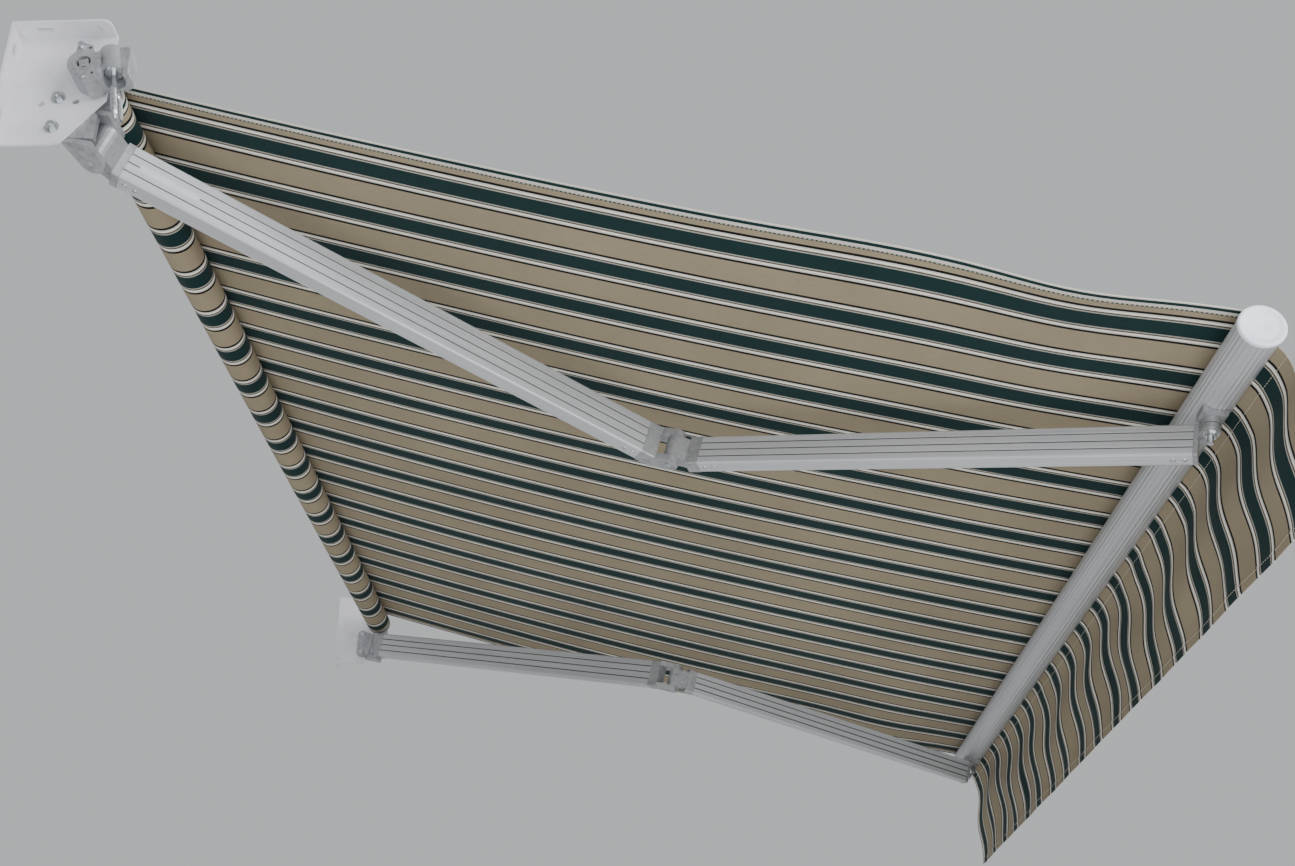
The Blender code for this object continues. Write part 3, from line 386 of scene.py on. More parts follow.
@functools.cache
def box(node):
    """Corners of a node at rest, measured once."""
    return tuple(tuple(corner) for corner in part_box(node))


@functools.cache
def centre(node):
    low, high = box(node)
    return (Vector(low) + Vector(high)) / 2


def finished(obj, body, slot, material, *stands_for):
    """Gives a made piece its material and its body; its slot is not used."""
    if material is not None:
        obj.data.materials.clear()
        obj.data.materials.append(material)
    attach(obj, body)
    if stands_for:
        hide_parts(*stands_for)
    return obj


def mesh_piece(name, bm, smooth=True):
    """Object at the origin with the given mesh, faces outward."""
    bmesh.ops.recalc_face_normals(bm, faces=bm.faces)
    data = bpy.data.meshes.new(name)
    bm.to_mesh(data)
    bm.free()
    for face in data.polygons:
        face.use_smooth = smooth
    obj = bpy.data.objects.new(name, data)
    bpy.context.collection.objects.link(obj)
    return obj


def sharpen(obj, degrees=35):
    """Keeps edges crisp where faces turn more than this."""
    data = obj.data
    bm = bmesh.new()
    bm.from_mesh(data)
    for edge in bm.edges:
        edge.smooth = len(edge.link_faces) == 2 and edge.calc_face_angle(0) < math.radians(degrees)
    bm.to_mesh(data)
    bm.free()


def lathe(profile, steps=64):
    """Closed shape turned round Z from (radius, height) points that start and end on the axis."""
    bm = bmesh.new()
    rings = []
    for radius, height in profile:
        if radius < 1e-6:
            rings.append([bm.verts.new((0, 0, height))])
        else:
            rings.append([bm.verts.new((radius * math.cos(2 * math.pi * i / steps),
                                        radius * math.sin(2 * math.pi * i / steps), height))
                          for i in range(steps)])
    for a, b in zip(rings, rings[1:]):
        for i in range(steps):
            corners = [a[i % len(a)], a[(i + 1) % len(a)], b[(i + 1) % len(b)], b[i % len(b)]]
            corners = list(dict.fromkeys(corners))
            if len(corners) > 2:
                bm.faces.new(corners)
    return bm


def sheet_shell(name, rows, columns, point, uv, thick=CLOTH_THICK):
    """Thin closed sheet over a grid; point and uv map two shares, across and along, to places."""
    mid = [[Vector(point(c / columns, r / rows)) for r in range(rows + 1)] for c in range(columns + 1)]
    bm = bmesh.new()
    layer = bm.loops.layers.uv.new("cloth")
    skins = []
    for face in (0.5, -0.5):
        grid = []
        for c in range(columns + 1):
            column = []
            for r in range(rows + 1):
                du = mid[min(c + 1, columns)][r] - mid[max(c - 1, 0)][r]
                dv = mid[c][min(r + 1, rows)] - mid[c][max(r - 1, 0)]
                column.append(bm.verts.new(mid[c][r] + du.cross(dv).normalized() * face * thick))
            grid.append(column)
        skins.append(grid)
    share = {}
    for grid in skins:
        for c, column in enumerate(grid):
            for r, vert in enumerate(column):
                share[vert] = uv(c / columns, r / rows)
    upper, lower = skins
    for c in range(columns):
        for r in range(rows):
            bm.faces.new((upper[c][r], upper[c + 1][r], upper[c + 1][r + 1], upper[c][r + 1]))
            bm.faces.new((lower[c][r + 1], lower[c + 1][r + 1], lower[c + 1][r], lower[c][r]))
        for r, turn in ((0, 1), (rows, -1)):
            bm.faces.new([upper[c][r], lower[c][r], lower[c + 1][r], upper[c + 1][r]][::turn])
    for r in range(rows):
        for c, turn in ((0, 1), (columns, -1)):
            bm.faces.new([upper[c][r], upper[c][r + 1], lower[c][r + 1], lower[c][r]][::turn])
    for face in bm.faces:
        for loop in face.loops:
            loop[layer].uv = share[loop.vert]
    obj = mesh_piece(name, bm)
    sharpen(obj, 60)
    area = sum(((mid[c + 1][r + 1] - mid[c][r]).cross(mid[c][r + 1] - mid[c + 1][r])).length / 2
               for c in range(columns) for r in range(rows))
    return obj, area


def on_bar(angle, radius):
    """Point of the front bar's section, in (y, z), at an angle up from its front."""
    middle = centre("front_bar")
    return Vector((0, middle.y - radius * math.cos(angle), middle.z + radius * math.sin(angle)))


@functools.cache
def cover_path():
    """The cover's path in (y, z): its start on the roll, its end on the bar and the corner between."""
    roll = centre("cloth_roll")
    low, high = box("cloth_roll")
    off = (high[2] - low[2]) / 2 + CLOTH_THICK / 2 + 0.0003
    bar = centre("front_bar")
    bar_off = BAR_TOP + CLOTH_THICK / 2
    chord = math.atan2(roll.z - bar.z, roll.y - bar.y)
    leave, reach = chord + COVER_BEND, chord - COVER_BEND
    start = Vector((0, roll.y - off * math.sin(leave), roll.z + off * math.cos(leave)))
    end = on_bar(math.pi / 2 - reach, bar_off)
    span = start - end
    along = (span.z - span.y * math.tan(reach)) / (math.sin(leave) - math.cos(leave) * math.tan(reach))
    return start, start - Vector((0, math.cos(leave), math.sin(leave))) * along, end, math.pi / 2 - reach


def on_cover(across, along, half, ripple, slack):
    """Place on the cover's middle surface, with its slack ripples and the dips at its front corners."""
    start, corner, end, _ = cover_path()
    place = start * (1 - along) ** 2 + corner * 2 * along * (1 - along) + end * along ** 2
    x = (across * 2 - 1) * half
    ease = math.sin(math.pi * min(1.0, along * 1.02)) ** 0.7 if 0 < along < 1 else 0.0
    wave = noise.noise(Vector((x * 3.1, along * 1.6, 0.3))) + 0.5 * noise.noise(
        Vector((x * 9.0, along * 2.6 + 4, 1.7)))
    pull = math.exp(-(half - abs(x)) / 0.05)
    dip = math.exp(-((along - 0.86) / 0.075) ** 2) * math.exp(-(half - abs(x)) / 0.20)
    rise = math.exp(-((along - 0.70) / 0.10) ** 2) * math.exp(-(half - abs(x)) / 0.16)
    place = place + OFF_SLOPE * (ripple * wave * ease * (1 - 0.6 * pull) + 0.004 * pull * ease
                                 - slack * (dip - 0.35 * rise))
    return Vector((x, place.y, place.z))


@functools.cache
def valance_top():
    """Where the valance leaves its slot, and how far it falls."""
    low, high = box("valance")
    mouth = on_bar(VALANCE_SLOT, BAR_MOUTH)
    return mouth, high[2] - low[2]


def on_valance(across, down, half, fold, folds, buckle):
    """Place on the valance: out of its slot in a bulge, then in soft folds and creases to its free edge."""
    mouth, drop = valance_top()
    x = (across * 2 - 1) * half
    fall = min(1.0, down * 1.25) ** 1.1
    phase = math.pi * folds * x / half
    deep = math.sin(phase) + 0.35 * math.sin(2.3 * phase + 1.0)
    small = noise.noise(Vector((x * 11.0, down * 1.2, 2.0)))
    crease = math.sin(2 * math.pi * (1.45 * down + 0.55 * noise.noise(Vector((x * 3.3, 0.4, 5.0)))))
    bulge = 0.013 * (1 - math.exp(-down / 0.055)) * (1 - 0.45 * down)
    held = min(1.0, down * 5) * (1 - 0.85 * down ** 4)
    out = bulge + (fold * fall * (deep / 1.35 + 0.20 * small) + buckle * crease) * held
    side = 0.004 * fall * math.cos(phase)
    return Vector((x + side * (1 - abs(x) / half), mouth.y - out,
                   mouth.z - (drop - 0.0030) * down))


# Geometry Nodes trees

def nodes_tree(name, sockets):
    """Empty tree with a geometry socket in and out and named inputs for its sizes."""
    tree = bpy.data.node_groups.new(name, "GeometryNodeTree")
    tree.interface.new_socket("Geometry", in_out="INPUT", socket_type="NodeSocketGeometry")
    for label, kind in sockets:
        tree.interface.new_socket(label, in_out="INPUT", socket_type=kind)
    tree.interface.new_socket("Geometry", in_out="OUTPUT", socket_type="NodeSocketGeometry")
    return tree, put(tree, "NodeGroupInput").outputs


def close_tree(tree, geometry, material):
    real = put(tree, "GeometryNodeRealizeInstances", {0: geometry})
    dressed = put(tree, "GeometryNodeSetMaterial", {0: real.outputs[0], "Material": material})
    put(tree, "NodeGroupOutput", {0: dressed.outputs[0]})


def stitch_tree():
    """Stitches at an even spacing along a curve: short plump threads that lie along it."""
    tree, given = nodes_tree("Stitches along a line", (
        ("Spacing", "NodeSocketFloat"), ("Thread", "NodeSocketFloat"), ("Material", "NodeSocketMaterial")))
    curve = put(tree, "GeometryNodeMeshToCurve", {0: given["Geometry"]})
    points = put(tree, "GeometryNodeCurveToPoints", {0: curve.outputs[0], "Length": given["Spacing"]},
                 mode="LENGTH")
    body = put(tree, "GeometryNodeMeshUVSphere", {"Radius": given["Thread"]}, {"Segments": 6, "Rings": 4})
    stretch = calc(tree, "DIVIDE", calc(tree, "MULTIPLY", given["Spacing"], 0.36), given["Thread"])
    size = put(tree, "ShaderNodeCombineXYZ", {2: stretch}, {0: 1.0, 1: 1.0})
    rows = put(tree, "GeometryNodeInstanceOnPoints", {
        "Points": points.outputs["Points"], "Instance": body.outputs["Mesh"],
        "Rotation": points.outputs["Rotation"], "Scale": size.outputs[0]})
    close_tree(tree, rows.outputs[0], given["Material"])
    return tree


def screw_tree():
    """Pan-head screws on points: a domed head with a cross recess, turned by each point's number."""
    tree, given = nodes_tree("Pan-head screws", (
        ("Diameter", "NodeSocketFloat"), ("Facing", "NodeSocketVector"), ("Material", "NodeSocketMaterial")))
    half, slot_long, slot_wide, lift = (calc(tree, "MULTIPLY", given["Diameter"], share)
                                        for share in (0.5, 0.56, 0.13, 0.23))
    head = put(tree, "GeometryNodeMeshUVSphere", {"Radius": half}, {"Segments": 20, "Rings": 10})
    flat = put(tree, "GeometryNodeTransform", {0: head.outputs["Mesh"]}, {"Scale": (1, 1, 0.46)})
    raised = put(tree, "ShaderNodeCombineXYZ", {2: lift}).outputs[0]
    slots = []
    for order in ((slot_long, slot_wide), (slot_wide, slot_long)):
        size = put(tree, "ShaderNodeCombineXYZ", {0: order[0], 1: order[1], 2: slot_wide})
        bar = put(tree, "GeometryNodeMeshCube", {"Size": size.outputs[0]})
        slots.append(put(tree, "GeometryNodeTransform", {0: bar.outputs["Mesh"], "Translation": raised}))
    cut = flat.outputs[0]
    for bar in slots:
        cut = put(tree, "GeometryNodeMeshBoolean", {0: cut, 1: bar.outputs[0]},
                  operation="DIFFERENCE", solver="EXACT").outputs[0]
    facing = put(tree, "FunctionNodeAlignRotationToVector", {"Vector": given["Facing"]}, axis="Z")
    number = put(tree, "GeometryNodeInputIndex")
    spin = put(tree, "FunctionNodeAxisAngleToRotation",
               {"Angle": calc(tree, "MULTIPLY", number.outputs[0], 0.9)}, {"Axis": (0, 0, 1)})
    turned = put(tree, "FunctionNodeRotateRotation", {0: facing.outputs[0], 1: spin.outputs[0]},
                 rotation_space="LOCAL")
    heads = put(tree, "GeometryNodeInstanceOnPoints", {"Points": given["Geometry"], "Instance": cut,
                                                       "Rotation": turned.outputs[0]})
    close_tree(tree, heads.outputs[0], given["Material"])
    return tree


def thread_tree():
    """Screw thread: a helix with a small round section, wound on the shank that it sits on."""
    tree, given = nodes_tree("Screw thread", (
        ("Radius", "NodeSocketFloat"), ("Length", "NodeSocketFloat"), ("Pitch", "NodeSocketFloat"),
        ("Material", "NodeSocketMaterial")))
    helix = put(tree, "GeometryNodeCurveSpiral", {
        "Rotations": calc(tree, "DIVIDE", given["Length"], given["Pitch"]),
        "Start Radius": given["Radius"], "End Radius": given["Radius"],
        "Height": given["Length"]}, {"Resolution": 18})
    crest = calc(tree, "MULTIPLY", given["Pitch"], 0.36)
    section = put(tree, "GeometryNodeCurvePrimitiveCircle", {"Radius": crest}, {"Resolution": 6})
    wound = put(tree, "GeometryNodeCurveToMesh", {0: helix.outputs[0], "Profile Curve": section.outputs[0],
                                                  "Fill Caps": put(tree, "FunctionNodeInputBool",
                                                                   boolean=True).outputs[0]})
    close_tree(tree, wound.outputs[0], given["Material"])
    return tree


def grown(name, source, tree, values, place=None):
    """Runs a tree on a mesh or an empty mesh and returns the plain mesh it makes, in place."""
    obj = bpy.data.objects.new(name, source)
    bpy.context.collection.objects.link(obj)
    modifier = obj.modifiers.new("Build", "NODES")
    modifier.node_group = tree
    names = {item.name: item.identifier for item in tree.interface.items_tree
             if item.item_type == "SOCKET" and item.in_out == "INPUT"}
    for label, value in values.items():
        modifier[names[label]] = value
    held = bpy.context.evaluated_depsgraph_get()
    made = bpy.data.meshes.new_from_object(obj.evaluated_get(held))
    obj.modifiers.remove(modifier)
    obj.data = made
    if place is not None:
        made.transform(place)
    for face in made.polygons:
        face.use_smooth = True
    made.name = name
    return obj


def point_mesh(name, points, joined=False):
    """Mesh of loose points, or of one line through them."""
    data = bpy.data.meshes.new(name)
    edges = [(i, i + 1) for i in range(len(points) - 1)] if joined else []
    data.from_pydata([tuple(p) for p in points], edges, [])
    return data


def look(name):
    return bpy.data.materials[name]


def root_body():
    return JOINTS["left_shoulder"]["parent"]


def upward(joint):
    """A joint's axis, pointing up."""
    up = Vector(JOINTS[joint]["axis"])
    return up if up.z > 0 else -up


def arm_frame(first, second, side):
    """Frame of an arm between two joints: x along it, y towards its tube, z up its hinge axes."""
    start, end = Vector(JOINTS[first]["pos_m"]), Vector(JOINTS[second]["pos_m"])
    up = upward(first)
    ahead = (end - start).normalized()
    ahead = (ahead - up * ahead.dot(up)).normalized()
    across = up.cross(ahead) * -side
    made = Matrix((ahead, across, up)).transposed().to_4x4()
    made.translation = start
    return made, (end - start).length


# Operators

class AWNING_OT_finishes(bpy.types.Operator):
    """Gives every solid of the frame its own procedural finish"""
    bl_idname = "awning.finishes"
    bl_label = "Finish the frame"

    def execute(self, context):
        metal = context.scene.awning_metal
        cloth = context.scene.awning_cloth
        coat = powder_coat(tuple(metal.coat))
        casting = die_cast(tuple(metal.casting))
        plate = plated_zinc("bright zinc plated steel", tuple(metal.zinc), False)
        dip = plated_zinc("hot dip galvanised steel", shade(tuple(metal.zinc), 0.82), True)
        white = moulded("white moulded polyamide", tuple(metal.plastic), 0.34)
        black = dark_paint()
        brass = cut_brass()
        printed_blank()
        striped_cloth("striped woven acrylic", cloth)
        striped_cloth("striped woven acrylic with hem", cloth, edges=box("awning_cover")[1][0])
        moulded("cream sewing thread", linear("#cfc8b8"), 0.6)
        drawn = {"bar": drawn_aluminium("anodised front bar", tuple(metal.extrusion), (0, 0, 0))}
        for side, hand in SIDES.items():
            for piece, ends in ARM_ENDS.items():
                tall = ARM_SIZES[piece][1]
                place, _ = arm_frame("left_" + ends[0], "left_" + ends[1], -1)
                ahead, up, spot = (Vector(place.col[k][:3]) for k in (0, 2, 3))
                if hand > 0:
                    for way in (ahead, up, spot):
                        way.x = -way.x
                axes = Matrix((ahead, up.cross(ahead), up))
                name = "anodised %s %s" % (side, piece.replace("_", " "))
                # The height and spacing of the tube's grooves place its painted groove shade.
                drawn["%s_%s_tube" % (side, piece)] = drawn_aluminium(
                    name, tuple(metal.extrusion), tuple(axes.to_euler("XYZ")), (up.dot(spot), tall / 4))
        chosen = {
            "side_plate": coat, "shoulder_bracket": casting, "bracket_bolt": plate, "bracket_nut": plate,
            "shoulder_pin": plate, "gearbox_housing": casting, "gearbox_back_cover": dip,
            "gearbox_bolt": plate, "roller_bearing_bush": white, "roller_tube": dip, "drive_shaft": plate,
            "roller_plug": casting, "worm_wheel": brass, "crank_eye": dip, "worm": plate,
            "shoulder_end": casting, "elbow_fork": casting, "elbow_pin": plate, "spring_cylinder": black,
            "spring_rod": plate, "elbow_knuckle": casting, "forearm_front_end": casting,
            "front_bracket": casting, "front_stud": plate, "front_nut": plate, "end_cap": white,
            "cover_rod": white, "valance_rod": white, "front_bar": drawn["bar"],
            "cloth_roll": look("striped woven acrylic"), "valance": look("striped woven acrylic"),
            "awning_cover": look("striped woven acrylic"),
        }
        for name, obj in NODES.items():
            found = drawn.get(name)
            if found is None:
                keys = [key for key in chosen if key in name]
                if not keys:
                    raise RuntimeError("no finish for " + name)
                found = chosen[max(keys, key=len)]
            obj.data.materials.clear()
            obj.data.materials.append(found)
        return {"FINISHED"}


class AWNING_OT_cover(bpy.types.Operator):
    """Hangs the striped cover from the roll to the front bar, hems it and stitches it"""
    bl_idname = "awning.cover"
    bl_label = "Cover"

    def execute(self, context):
        cloth = context.scene.awning_cloth
        half = box("awning_cover")[1][0]
        start, _, end, touch = cover_path()
        span = (end - start).length

        def uv(across, along):
            return (across * 2 * half, along * span)

        def hung(across, along):
            return on_cover(across, along, half, cloth.ripple, cloth.slack)

        cover, area = sheet_shell("cover", 72, 236, hung, uv)
        wall = root_body()
        finished(cover, wall, "awning_cloth", look("striped woven acrylic with hem"), "awning_cover")
        bar_off = BAR_TOP + CLOTH_THICK / 2
        turn = COVER_SLOT + math.radians(4) - touch
        wrap_length = abs(turn) * bar_off

        def wrapped(across, along):
            place = on_bar(touch + turn * along, bar_off)
            return Vector(((across * 2 - 1) * half, place.y, place.z))

        wrap, wrap_area = sheet_shell("cover_wrap", 8, 118, wrapped,
                                      lambda a, b: (a * 2 * half, span + b * wrap_length))
        finished(wrap, "front_bar", "awning_cloth", look("striped woven acrylic with hem"))
        folded = math.radians(JOINTS["left_shoulder"]["range_deg"][1])
        keep = max(0.01, 1 - bar_travel(folded) / (end - start).dot(DOWN_SLOPE))
        hems = []
        thread = look("cream sewing thread")
        tree = stitch_tree()
        for side, hand in SIDES.items():
            def hemmed(across, along, hand=hand):
                share = across * cloth.hem / (2 * half)
                return hung(share if hand < 0 else 1 - share, along) - OFF_SLOPE * (CLOTH_THICK * 1.05)

            def hem_uv(across, along, hand=hand):
                run = across * cloth.hem
                return (run if hand < 0 else 2 * half - run, along * span)

            hem, _ = sheet_shell(side + "_hem", 72, 3, hemmed, hem_uv)
            finished(hem, wall, "awning_cloth", look("striped woven acrylic with hem"))
            share = (cloth.hem - 0.004) / (2 * half)
            seam = [hung(share if hand < 0 else 1 - share, 0.004 + 0.992 * i / 120)
                    - OFF_SLOPE * (CLOTH_THICK * 1.75) for i in range(121)]
            row = grown(side + "_hem_stitches", point_mesh("seam", seam, True), tree,
                        {"Spacing": cloth.stitch, "Thread": STITCH_THREAD, "Material": thread})
            finished(row, wall, "awning_cloth", None)
            hems += [hem, row]
        for piece in [cover, *hems]:
            tuple(start)
            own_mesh(piece)
        return {"FINISHED"}


def bar_travel(angle):
    """How far the front bar comes in along the slope when the arms fold by an angle."""
    shoulder, elbow, front = (Vector(JOINTS["left_" + n]["pos_m"]) for n in ("shoulder", "elbow", "front"))
    upper = Matrix.Rotation(angle, 3, Vector(JOINTS["left_shoulder"]["axis"]))
    fore = upper @ Matrix.Rotation(angle * ELBOW_RATIO, 3, Vector(JOINTS["left_elbow"]["axis"]))
    moved = shoulder + upper @ (elbow - shoulder) + fore @ (front - elbow)
    return (front - moved).dot(DOWN_SLOPE)


class AWNING_OT_roll(bpy.types.Operator):
    """Winds the cloth on the roller, with the spiral of its turns at each end"""
    bl_idname = "awning.roll"
    bl_label = "Cloth roll"

    def execute(self, context):
        low, high = box("cloth_roll")
        middle = centre("cloth_roll")
        half, outer = high[0], (high[2] - low[2]) / 2
        inner = outer - 0.0026
        turns, steps = 3, 72
        leaves = cover_path()[0] - middle
        tail = math.atan2(leaves.z, leaves.y)

        def wound(across, along):
            angle = tail - along * 2 * math.pi * turns
            radius = outer - CLOTH_THICK / 2 - along * (outer - inner)
            x = (across * 2 - 1) * (half - 0.0008 - 0.0006 * math.sin(along * 31))
            return Vector((x, middle.y + radius * math.cos(angle), middle.z + radius * math.sin(angle)))

        run = 2 * math.pi * turns * (outer + inner) / 2
        roll, area = sheet_shell("cloth_roll_turns", steps * turns, 4, wound,
                                 lambda a, b: (a * 2 * half, -b * run), 0.0007)
        finished(roll, "roller", "awning_cloth", look("striped woven acrylic with hem"), "cloth_roll")
        return {"FINISHED"}


class AWNING_OT_valance(bpy.types.Operator):
    """Hangs the valance in soft folds, with its slot seam, its bottom hem and their stitches"""
    bl_idname = "awning.valance"
    bl_label = "Valance"

    def execute(self, context):
        cloth = context.scene.awning_cloth
        half = box("valance")[1][0] - 0.0012
        mouth, drop = valance_top()

        def hanging(across, down):
            return on_valance(across, down, half, cloth.fold, cloth.folds, cloth.buckle)

        def uv(across, down):
            return (across * 2 * half, down * drop)

        valance, area = sheet_shell("valance_cloth", 30, 360, hanging, uv)
        finished(valance, "front_bar", "awning_cloth", look("striped woven acrylic"), "valance")
        hem_share = VALANCE_HEM / drop

        def hemmed(across, down):
            place = hanging(across, 1 - hem_share * (1 - down))
            return place + Vector((0, CLOTH_THICK * 1.05, -0.0004 * down))

        hem, _ = sheet_shell("valance_hem", 3, 360, hemmed,
                             lambda a, b: (a * 2 * half, drop * (1 - hem_share * (1 - b))))
        finished(hem, "front_bar", "awning_cloth", look("striped woven acrylic"))
        neck_top = on_bar(VALANCE_SLOT, VALANCE_NECK)

        def neck_point(across, along):
            place = neck_top.lerp(mouth, along)
            return Vector(((across * 2 - 1) * half, place.y, place.z))

        neck, _ = sheet_shell("valance_neck", 2, 24, neck_point,
                              lambda a, b: (a * 2 * half, -0.004 + b * 0.004))
        finished(neck, "front_bar", "awning_cloth", look("striped woven acrylic"))
        tree = bpy.data.node_groups.get("Stitches along a line") or stitch_tree()
        for name, down, side in (("valance_hem_stitches", 1 - hem_share * 0.82, 1.75),
                                 ("valance_slot_stitches", 0.062, 0.75),
                                 ("valance_front_stitches", 0.062, -0.75)):
            seam = [hanging(i / 360, down) + Vector((0, CLOTH_THICK * side, 0)) for i in range(361)]
            row = grown(name, point_mesh("seam", seam, True), tree, {
                "Spacing": cloth.stitch, "Thread": STITCH_THREAD, "Material": look("cream sewing thread")})
            finished(row, "front_bar", "awning_cloth", None)
        return {"FINISHED"}


class AWNING_OT_end_caps(bpy.types.Operator):
    """Turns the round dished caps of the front bar"""
    bl_idname = "awning.end_caps"
    bl_label = "Front bar caps"

    def execute(self, context):
        for side, hand in SIDES.items():
            name = side + "_end_cap"
            low, high = box(name)
            bar = centre("front_bar")
            face = high[0] if hand > 0 else low[0]
            edge = box("front_bar")[1][0]
            out = abs(face) - edge
            radius = 0.0368
            profile = [(0, -0.0115), (0.0220, -0.0115), (0.0256, -0.0100), (0.0258, 0.0003)]
            profile += [(radius - 0.0004, 0.0003), (radius, 0.0007), (radius + 0.0003, 0.0030)]
            for i in range(9):
                turn = math.pi / 2 * i / 8
                profile.append((radius - 0.0032 + 0.0034 * math.cos(turn),
                                out - 0.0034 + 0.0034 * math.sin(turn)))
            for i in range(1, 9):
                share = i / 8
                profile.append((radius - 0.0052 - 0.0100 * share,
                                out - 0.0022 * math.sin(share * math.pi / 2)))
            profile += [(0.0060, out - 0.0019), (0.0050, out - 0.0022), (0, out - 0.0024)]
            cap = mesh_piece(side + "_cap_round", lathe(profile, 72))
            turn = Matrix.Rotation(math.pi / 2 * hand, 4, "Y")
            cap.data.transform(Matrix.Translation((edge * hand, bar.y, bar.z)) @ turn)
            sharpen(cap, 50)
            finished(cap, "front_bar", "white_plastic", look("white moulded polyamide"), name)
        return {"FINISHED"}


class AWNING_OT_fasteners(bpy.types.Operator):
    """Sets the arms' end screws and winds the threads on bolts that show them"""
    bl_idname = "awning.fasteners"
    bl_label = "Screws and threads"

    def execute(self, context):
        metal = context.scene.awning_metal
        zinc = look("bright zinc plated steel")
        screws = screw_tree()
        collars = {"upper_arm": (0.046, 0.058), "forearm": (0.054, 0.026)}
        for side, hand in SIDES.items():
            for piece, ends in ARM_ENDS.items():
                joints = [side + "_" + end for end in ends]
                if joints[1] not in JOINTS:
                    place, reach = mirrored_frame(*["left_" + end for end in ends])
                else:
                    place, reach = arm_frame(*joints, hand)
                thick, tall = ARM_SIZES[piece]
                start, stop = collars[piece]
                spots = [place @ Vector((x, ARM_FACE + thick / 2, -tall / 2 - 0.0002))
                         for x in (start + 0.012, start + 0.030, reach - stop - 0.012, reach - stop - 0.030)]
                facing = -(place.to_3x3() @ Vector((0, 0, 1)))
                heads = grown("%s_%s_screws" % (side, piece), point_mesh("spots", spots), screws, {
                    "Diameter": metal.screw, "Facing": tuple(facing), "Material": zinc})
                sharpen(heads, 40)
                finished(heads, "%s_%s" % (side, piece), "zinc_plated_steel", None)
        threads = thread_tree()
        for side, hand in SIDES.items():
            for level in ("upper", "lower"):
                low, high = box("%s_bracket_bolt_%s" % (side, level))
                nut_low, nut_high = box("%s_bracket_nut_%s" % (side, level))
                mid = centre("%s_bracket_bolt_%s" % (side, level))
                tip = low[0] if hand < 0 else high[0]
                nut = nut_low[0] if hand < 0 else nut_high[0]
                run = abs(tip - nut) - 0.0010
                place = Matrix.Translation((tip - hand * 0.0008, mid.y, mid.z)) @ Matrix.Rotation(
                    -math.pi / 2 * hand, 4, "Y")
                wound = grown("%s_bolt_thread_%s" % (side, level), point_mesh("none", []), threads, {
                    "Radius": 0.00385, "Length": run, "Pitch": metal.thread_pitch, "Material": zinc}, place)
                finished(wound, root_body(), "zinc_plated_steel", None)
            up = upward("left_front")
            if hand > 0:
                up.x = -up.x
            spot = Vector(JOINTS["left_front"]["pos_m"])
            spot.x = abs(spot.x) * hand
            place = up.to_track_quat("Z", "X").to_matrix().to_4x4()
            place.translation = spot + up * -0.0115
            wound = grown(side + "_stud_thread", point_mesh("none", []), threads, {
                "Radius": 0.00485, "Length": 0.0105, "Pitch": metal.thread_pitch, "Material": zinc}, place)
            finished(wound, "front_bar", "zinc_plated_steel", None)
        return {"FINISHED"}


def mirrored_frame(first, second):
    """A left arm's frame mirrored to the right side, still a frame for placing points."""
    place, reach = arm_frame(first, second, -1)
    return Matrix.Scale(-1, 4, (1, 0, 0)) @ place, reach


class AWNING_OT_label(bpy.types.Operator):
    """Sticks a blank label on the near arm, with no words on it"""
    bl_idname = "awning.label"
    bl_label = "Blank label"

    def execute(self, context):
        metal = context.scene.awning_metal
        place, _ = arm_frame("left_shoulder", "left_elbow", -1)
        start, long, tall = 0.066, metal.label_length, 0.0115

        def rounded_sheet(x0, x1, z0, z1, out, thick):
            bm = bmesh.new()
            ring = []
            for cx, cz, first in ((x1, z1, 0), (x0, z1, 90), (x0, z0, 180), (x1, z0, 270)):
                for i in range(5):
                    turn = math.radians(first + 22.5 * i)
                    px = cx - math.copysign(0.0015, cx - (x0 + x1) / 2) + 0.0015 * math.cos(turn)
                    pz = cz - math.copysign(0.0015, cz - (z0 + z1) / 2) + 0.0015 * math.sin(turn)
                    ring.append((px, pz))
            near = [bm.verts.new((x, out, z)) for x, z in ring]
            far = [bm.verts.new((x, out - thick, z)) for x, z in ring]
            bm.faces.new(near)
            bm.faces.new(far[::-1])
            for i in range(len(ring)):
                bm.faces.new((near[i - 1], near[i], far[i], far[i - 1]))
            return bm

        plate = rounded_sheet(start, start + long, -tall / 2 - 0.0005, tall / 2 - 0.0005,
                              ARM_FACE - 0.0001, 0.0002)
        label = mesh_piece("blank_label", plate, False)
        label.data.transform(place)
        finished(label, "left_upper_arm", "white_plastic", look("blank satin label film"))
        return {"FINISHED"}


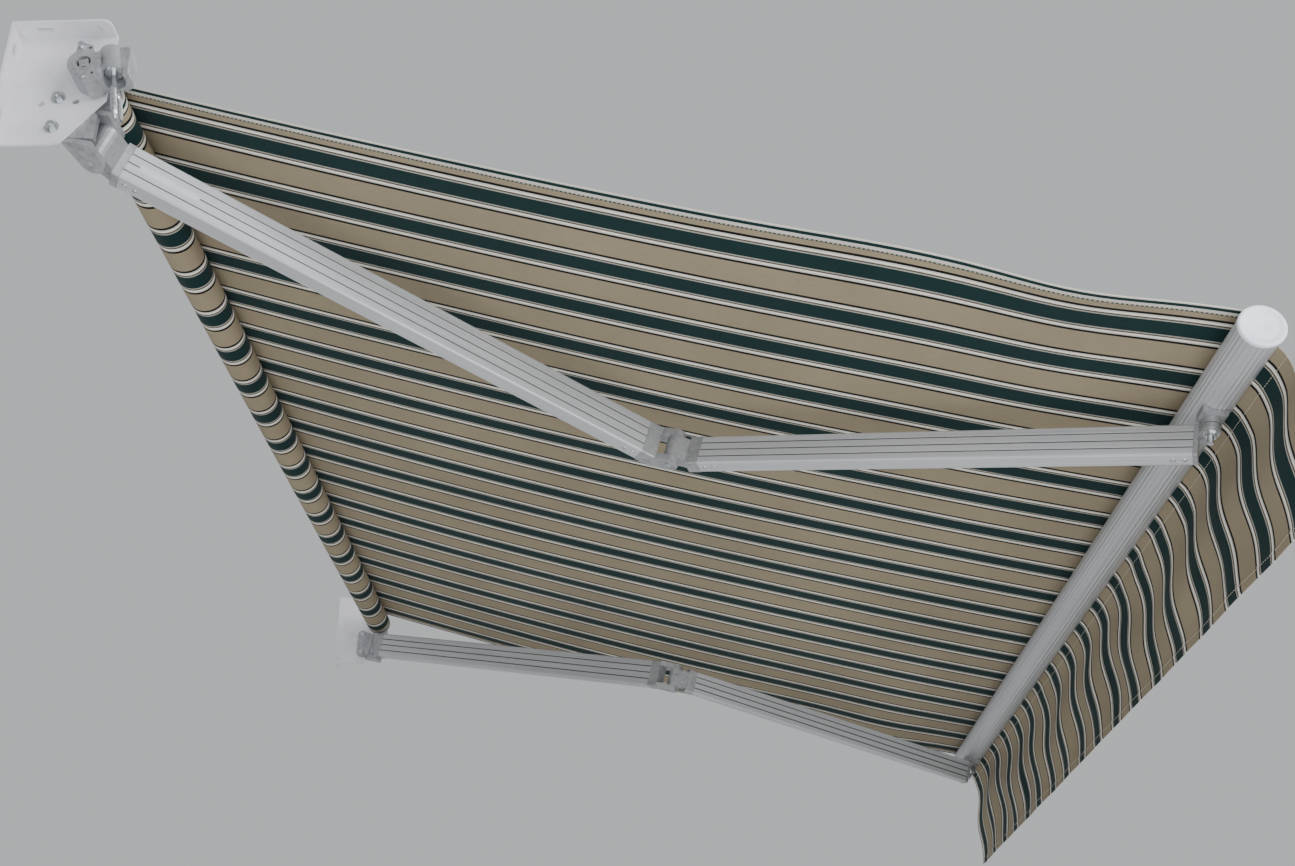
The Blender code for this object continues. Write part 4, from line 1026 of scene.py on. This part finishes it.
class AWNING_OT_stage(bpy.types.Operator):
    """Sets the pale floor, the soft lights and the camera at the photograph's viewing angle"""
    bl_idname = "awning.stage"
    bl_label = "Stage"

    def execute(self, context):
        stage = context.scene.awning_stage
        world = bpy.data.worlds.new("pale studio")
        world.use_nodes = True
        surround = world.node_tree.nodes["Background"].inputs
        surround["Color"].default_value = rgba(linear("#eef0f2"))
        surround["Strength"].default_value = stage.sky
        context.scene.world = world
        bm = bmesh.new()
        bmesh.ops.create_grid(bm, x_segments=8, y_segments=8, size=14)
        floor = mesh_piece("floor", bm, False)
        floor.data.transform(Matrix.Translation((0, -1, stage.floor_drop)))
        material, tree, shader = shader_material("pale matt floor", Metallic=0.0)
        tree.links.new(ramp(tree, grain(tree, place_of(tree), 3, 3), [
            (0.3, shade(tuple(stage.floor), 0.97)), (0.7, tuple(stage.floor))]),
            shader.inputs["Base Color"])
        shader.inputs["Roughness"].default_value = 0.8
        floor.data.materials.append(material)
        for name, spot, aim, size, power in (
                ("key", (-4.2, -4.2, 0.6), (0.0, -1.0, -0.3), 3.2, stage.key),
                ("fill", (-2.0, -1.2, -2.5), (0.3, -1.1, 0.0), 3.6, stage.key * 0.42),
                ("top", (0.6, -1.0, 4.2), (0.0, -1.0, 0.0), 3.5, stage.key * 0.6)):
            data = bpy.data.lights.new(name, "AREA")
            data.size = size
            data.energy = power
            lamp = bpy.data.objects.new(name, data)
            lamp.location = spot
            lamp.rotation_euler = (Vector(aim) - Vector(spot)).to_track_quat("-Z", "Y").to_euler()
            bpy.context.collection.objects.link(lamp)
        pixels, wide, yaw, pitch, roll = 1379.1, 1295, -0.0121, 0.4245, -0.0151
        data = bpy.data.cameras.new("photo view")
        data.sensor_width = 36
        data.lens = pixels / wide * data.sensor_width
        data.shift_y = 0.1
        data.clip_end = 100
        camera = bpy.data.objects.new("photo view", data)
        ahead = Vector((math.cos(yaw) * math.cos(pitch), -math.sin(yaw) * math.cos(pitch), math.sin(pitch)))
        right = Vector((-math.sin(yaw), -math.cos(yaw), 0))
        up = right.cross(ahead)
        leaned = right * math.cos(roll) + up * math.sin(roll)
        above = up * math.cos(roll) - right * math.sin(roll)
        turn = Matrix((leaned, above, -ahead)).transposed().to_4x4()
        camera.matrix_world = Matrix.Translation((-2.9438, -1.0597, -1.6680)) @ turn
        bpy.context.collection.objects.link(camera)
        context.scene.camera = camera
        return {"FINISHED"}


STEPS = (AWNING_OT_finishes, AWNING_OT_cover, AWNING_OT_roll, AWNING_OT_valance, AWNING_OT_end_caps,
         AWNING_OT_fasteners, AWNING_OT_label, AWNING_OT_stage)


class AWNING_PT_panel(bpy.types.Panel):
    """Lists the awning's steps in the 3D view's sidebar"""
    bl_idname = "AWNING_PT_panel"
    bl_label = "Folding-arm awning"
    bl_space_type = "VIEW_3D"
    bl_region_type = "UI"
    bl_category = "Awning"

    def draw(self, context):
        for step in STEPS:
            self.layout.operator(step.bl_idname)
        for group in ("awning_cloth", "awning_metal", "awning_stage"):
            part = self.layout.box()
            settings = getattr(context.scene, group)
            for name in settings.__annotations__:
                part.prop(settings, name)


SETTINGS = {"awning_cloth": AwningClothSettings, "awning_metal": AwningMetalSettings,
            "awning_stage": AwningStageSettings}


def register():
    for kind in (*SETTINGS.values(), *STEPS, AWNING_PT_panel):
        bpy.utils.register_class(kind)
    for name, kind in SETTINGS.items():
        setattr(bpy.types.Scene, name, PointerProperty(type=kind))


def unregister():
    for name in SETTINGS:
        delattr(bpy.types.Scene, name)
    for kind in reversed((*SETTINGS.values(), *STEPS, AWNING_PT_panel)):
        bpy.utils.unregister_class(kind)


def main():
    register()
    for step in STEPS:
        group, name = step.bl_idname.split(".")
        if getattr(getattr(bpy.ops, group), name)() != {"FINISHED"}:
            raise RuntimeError(step.bl_label + " did not finish")


if __name__ == "__main__":
    main()
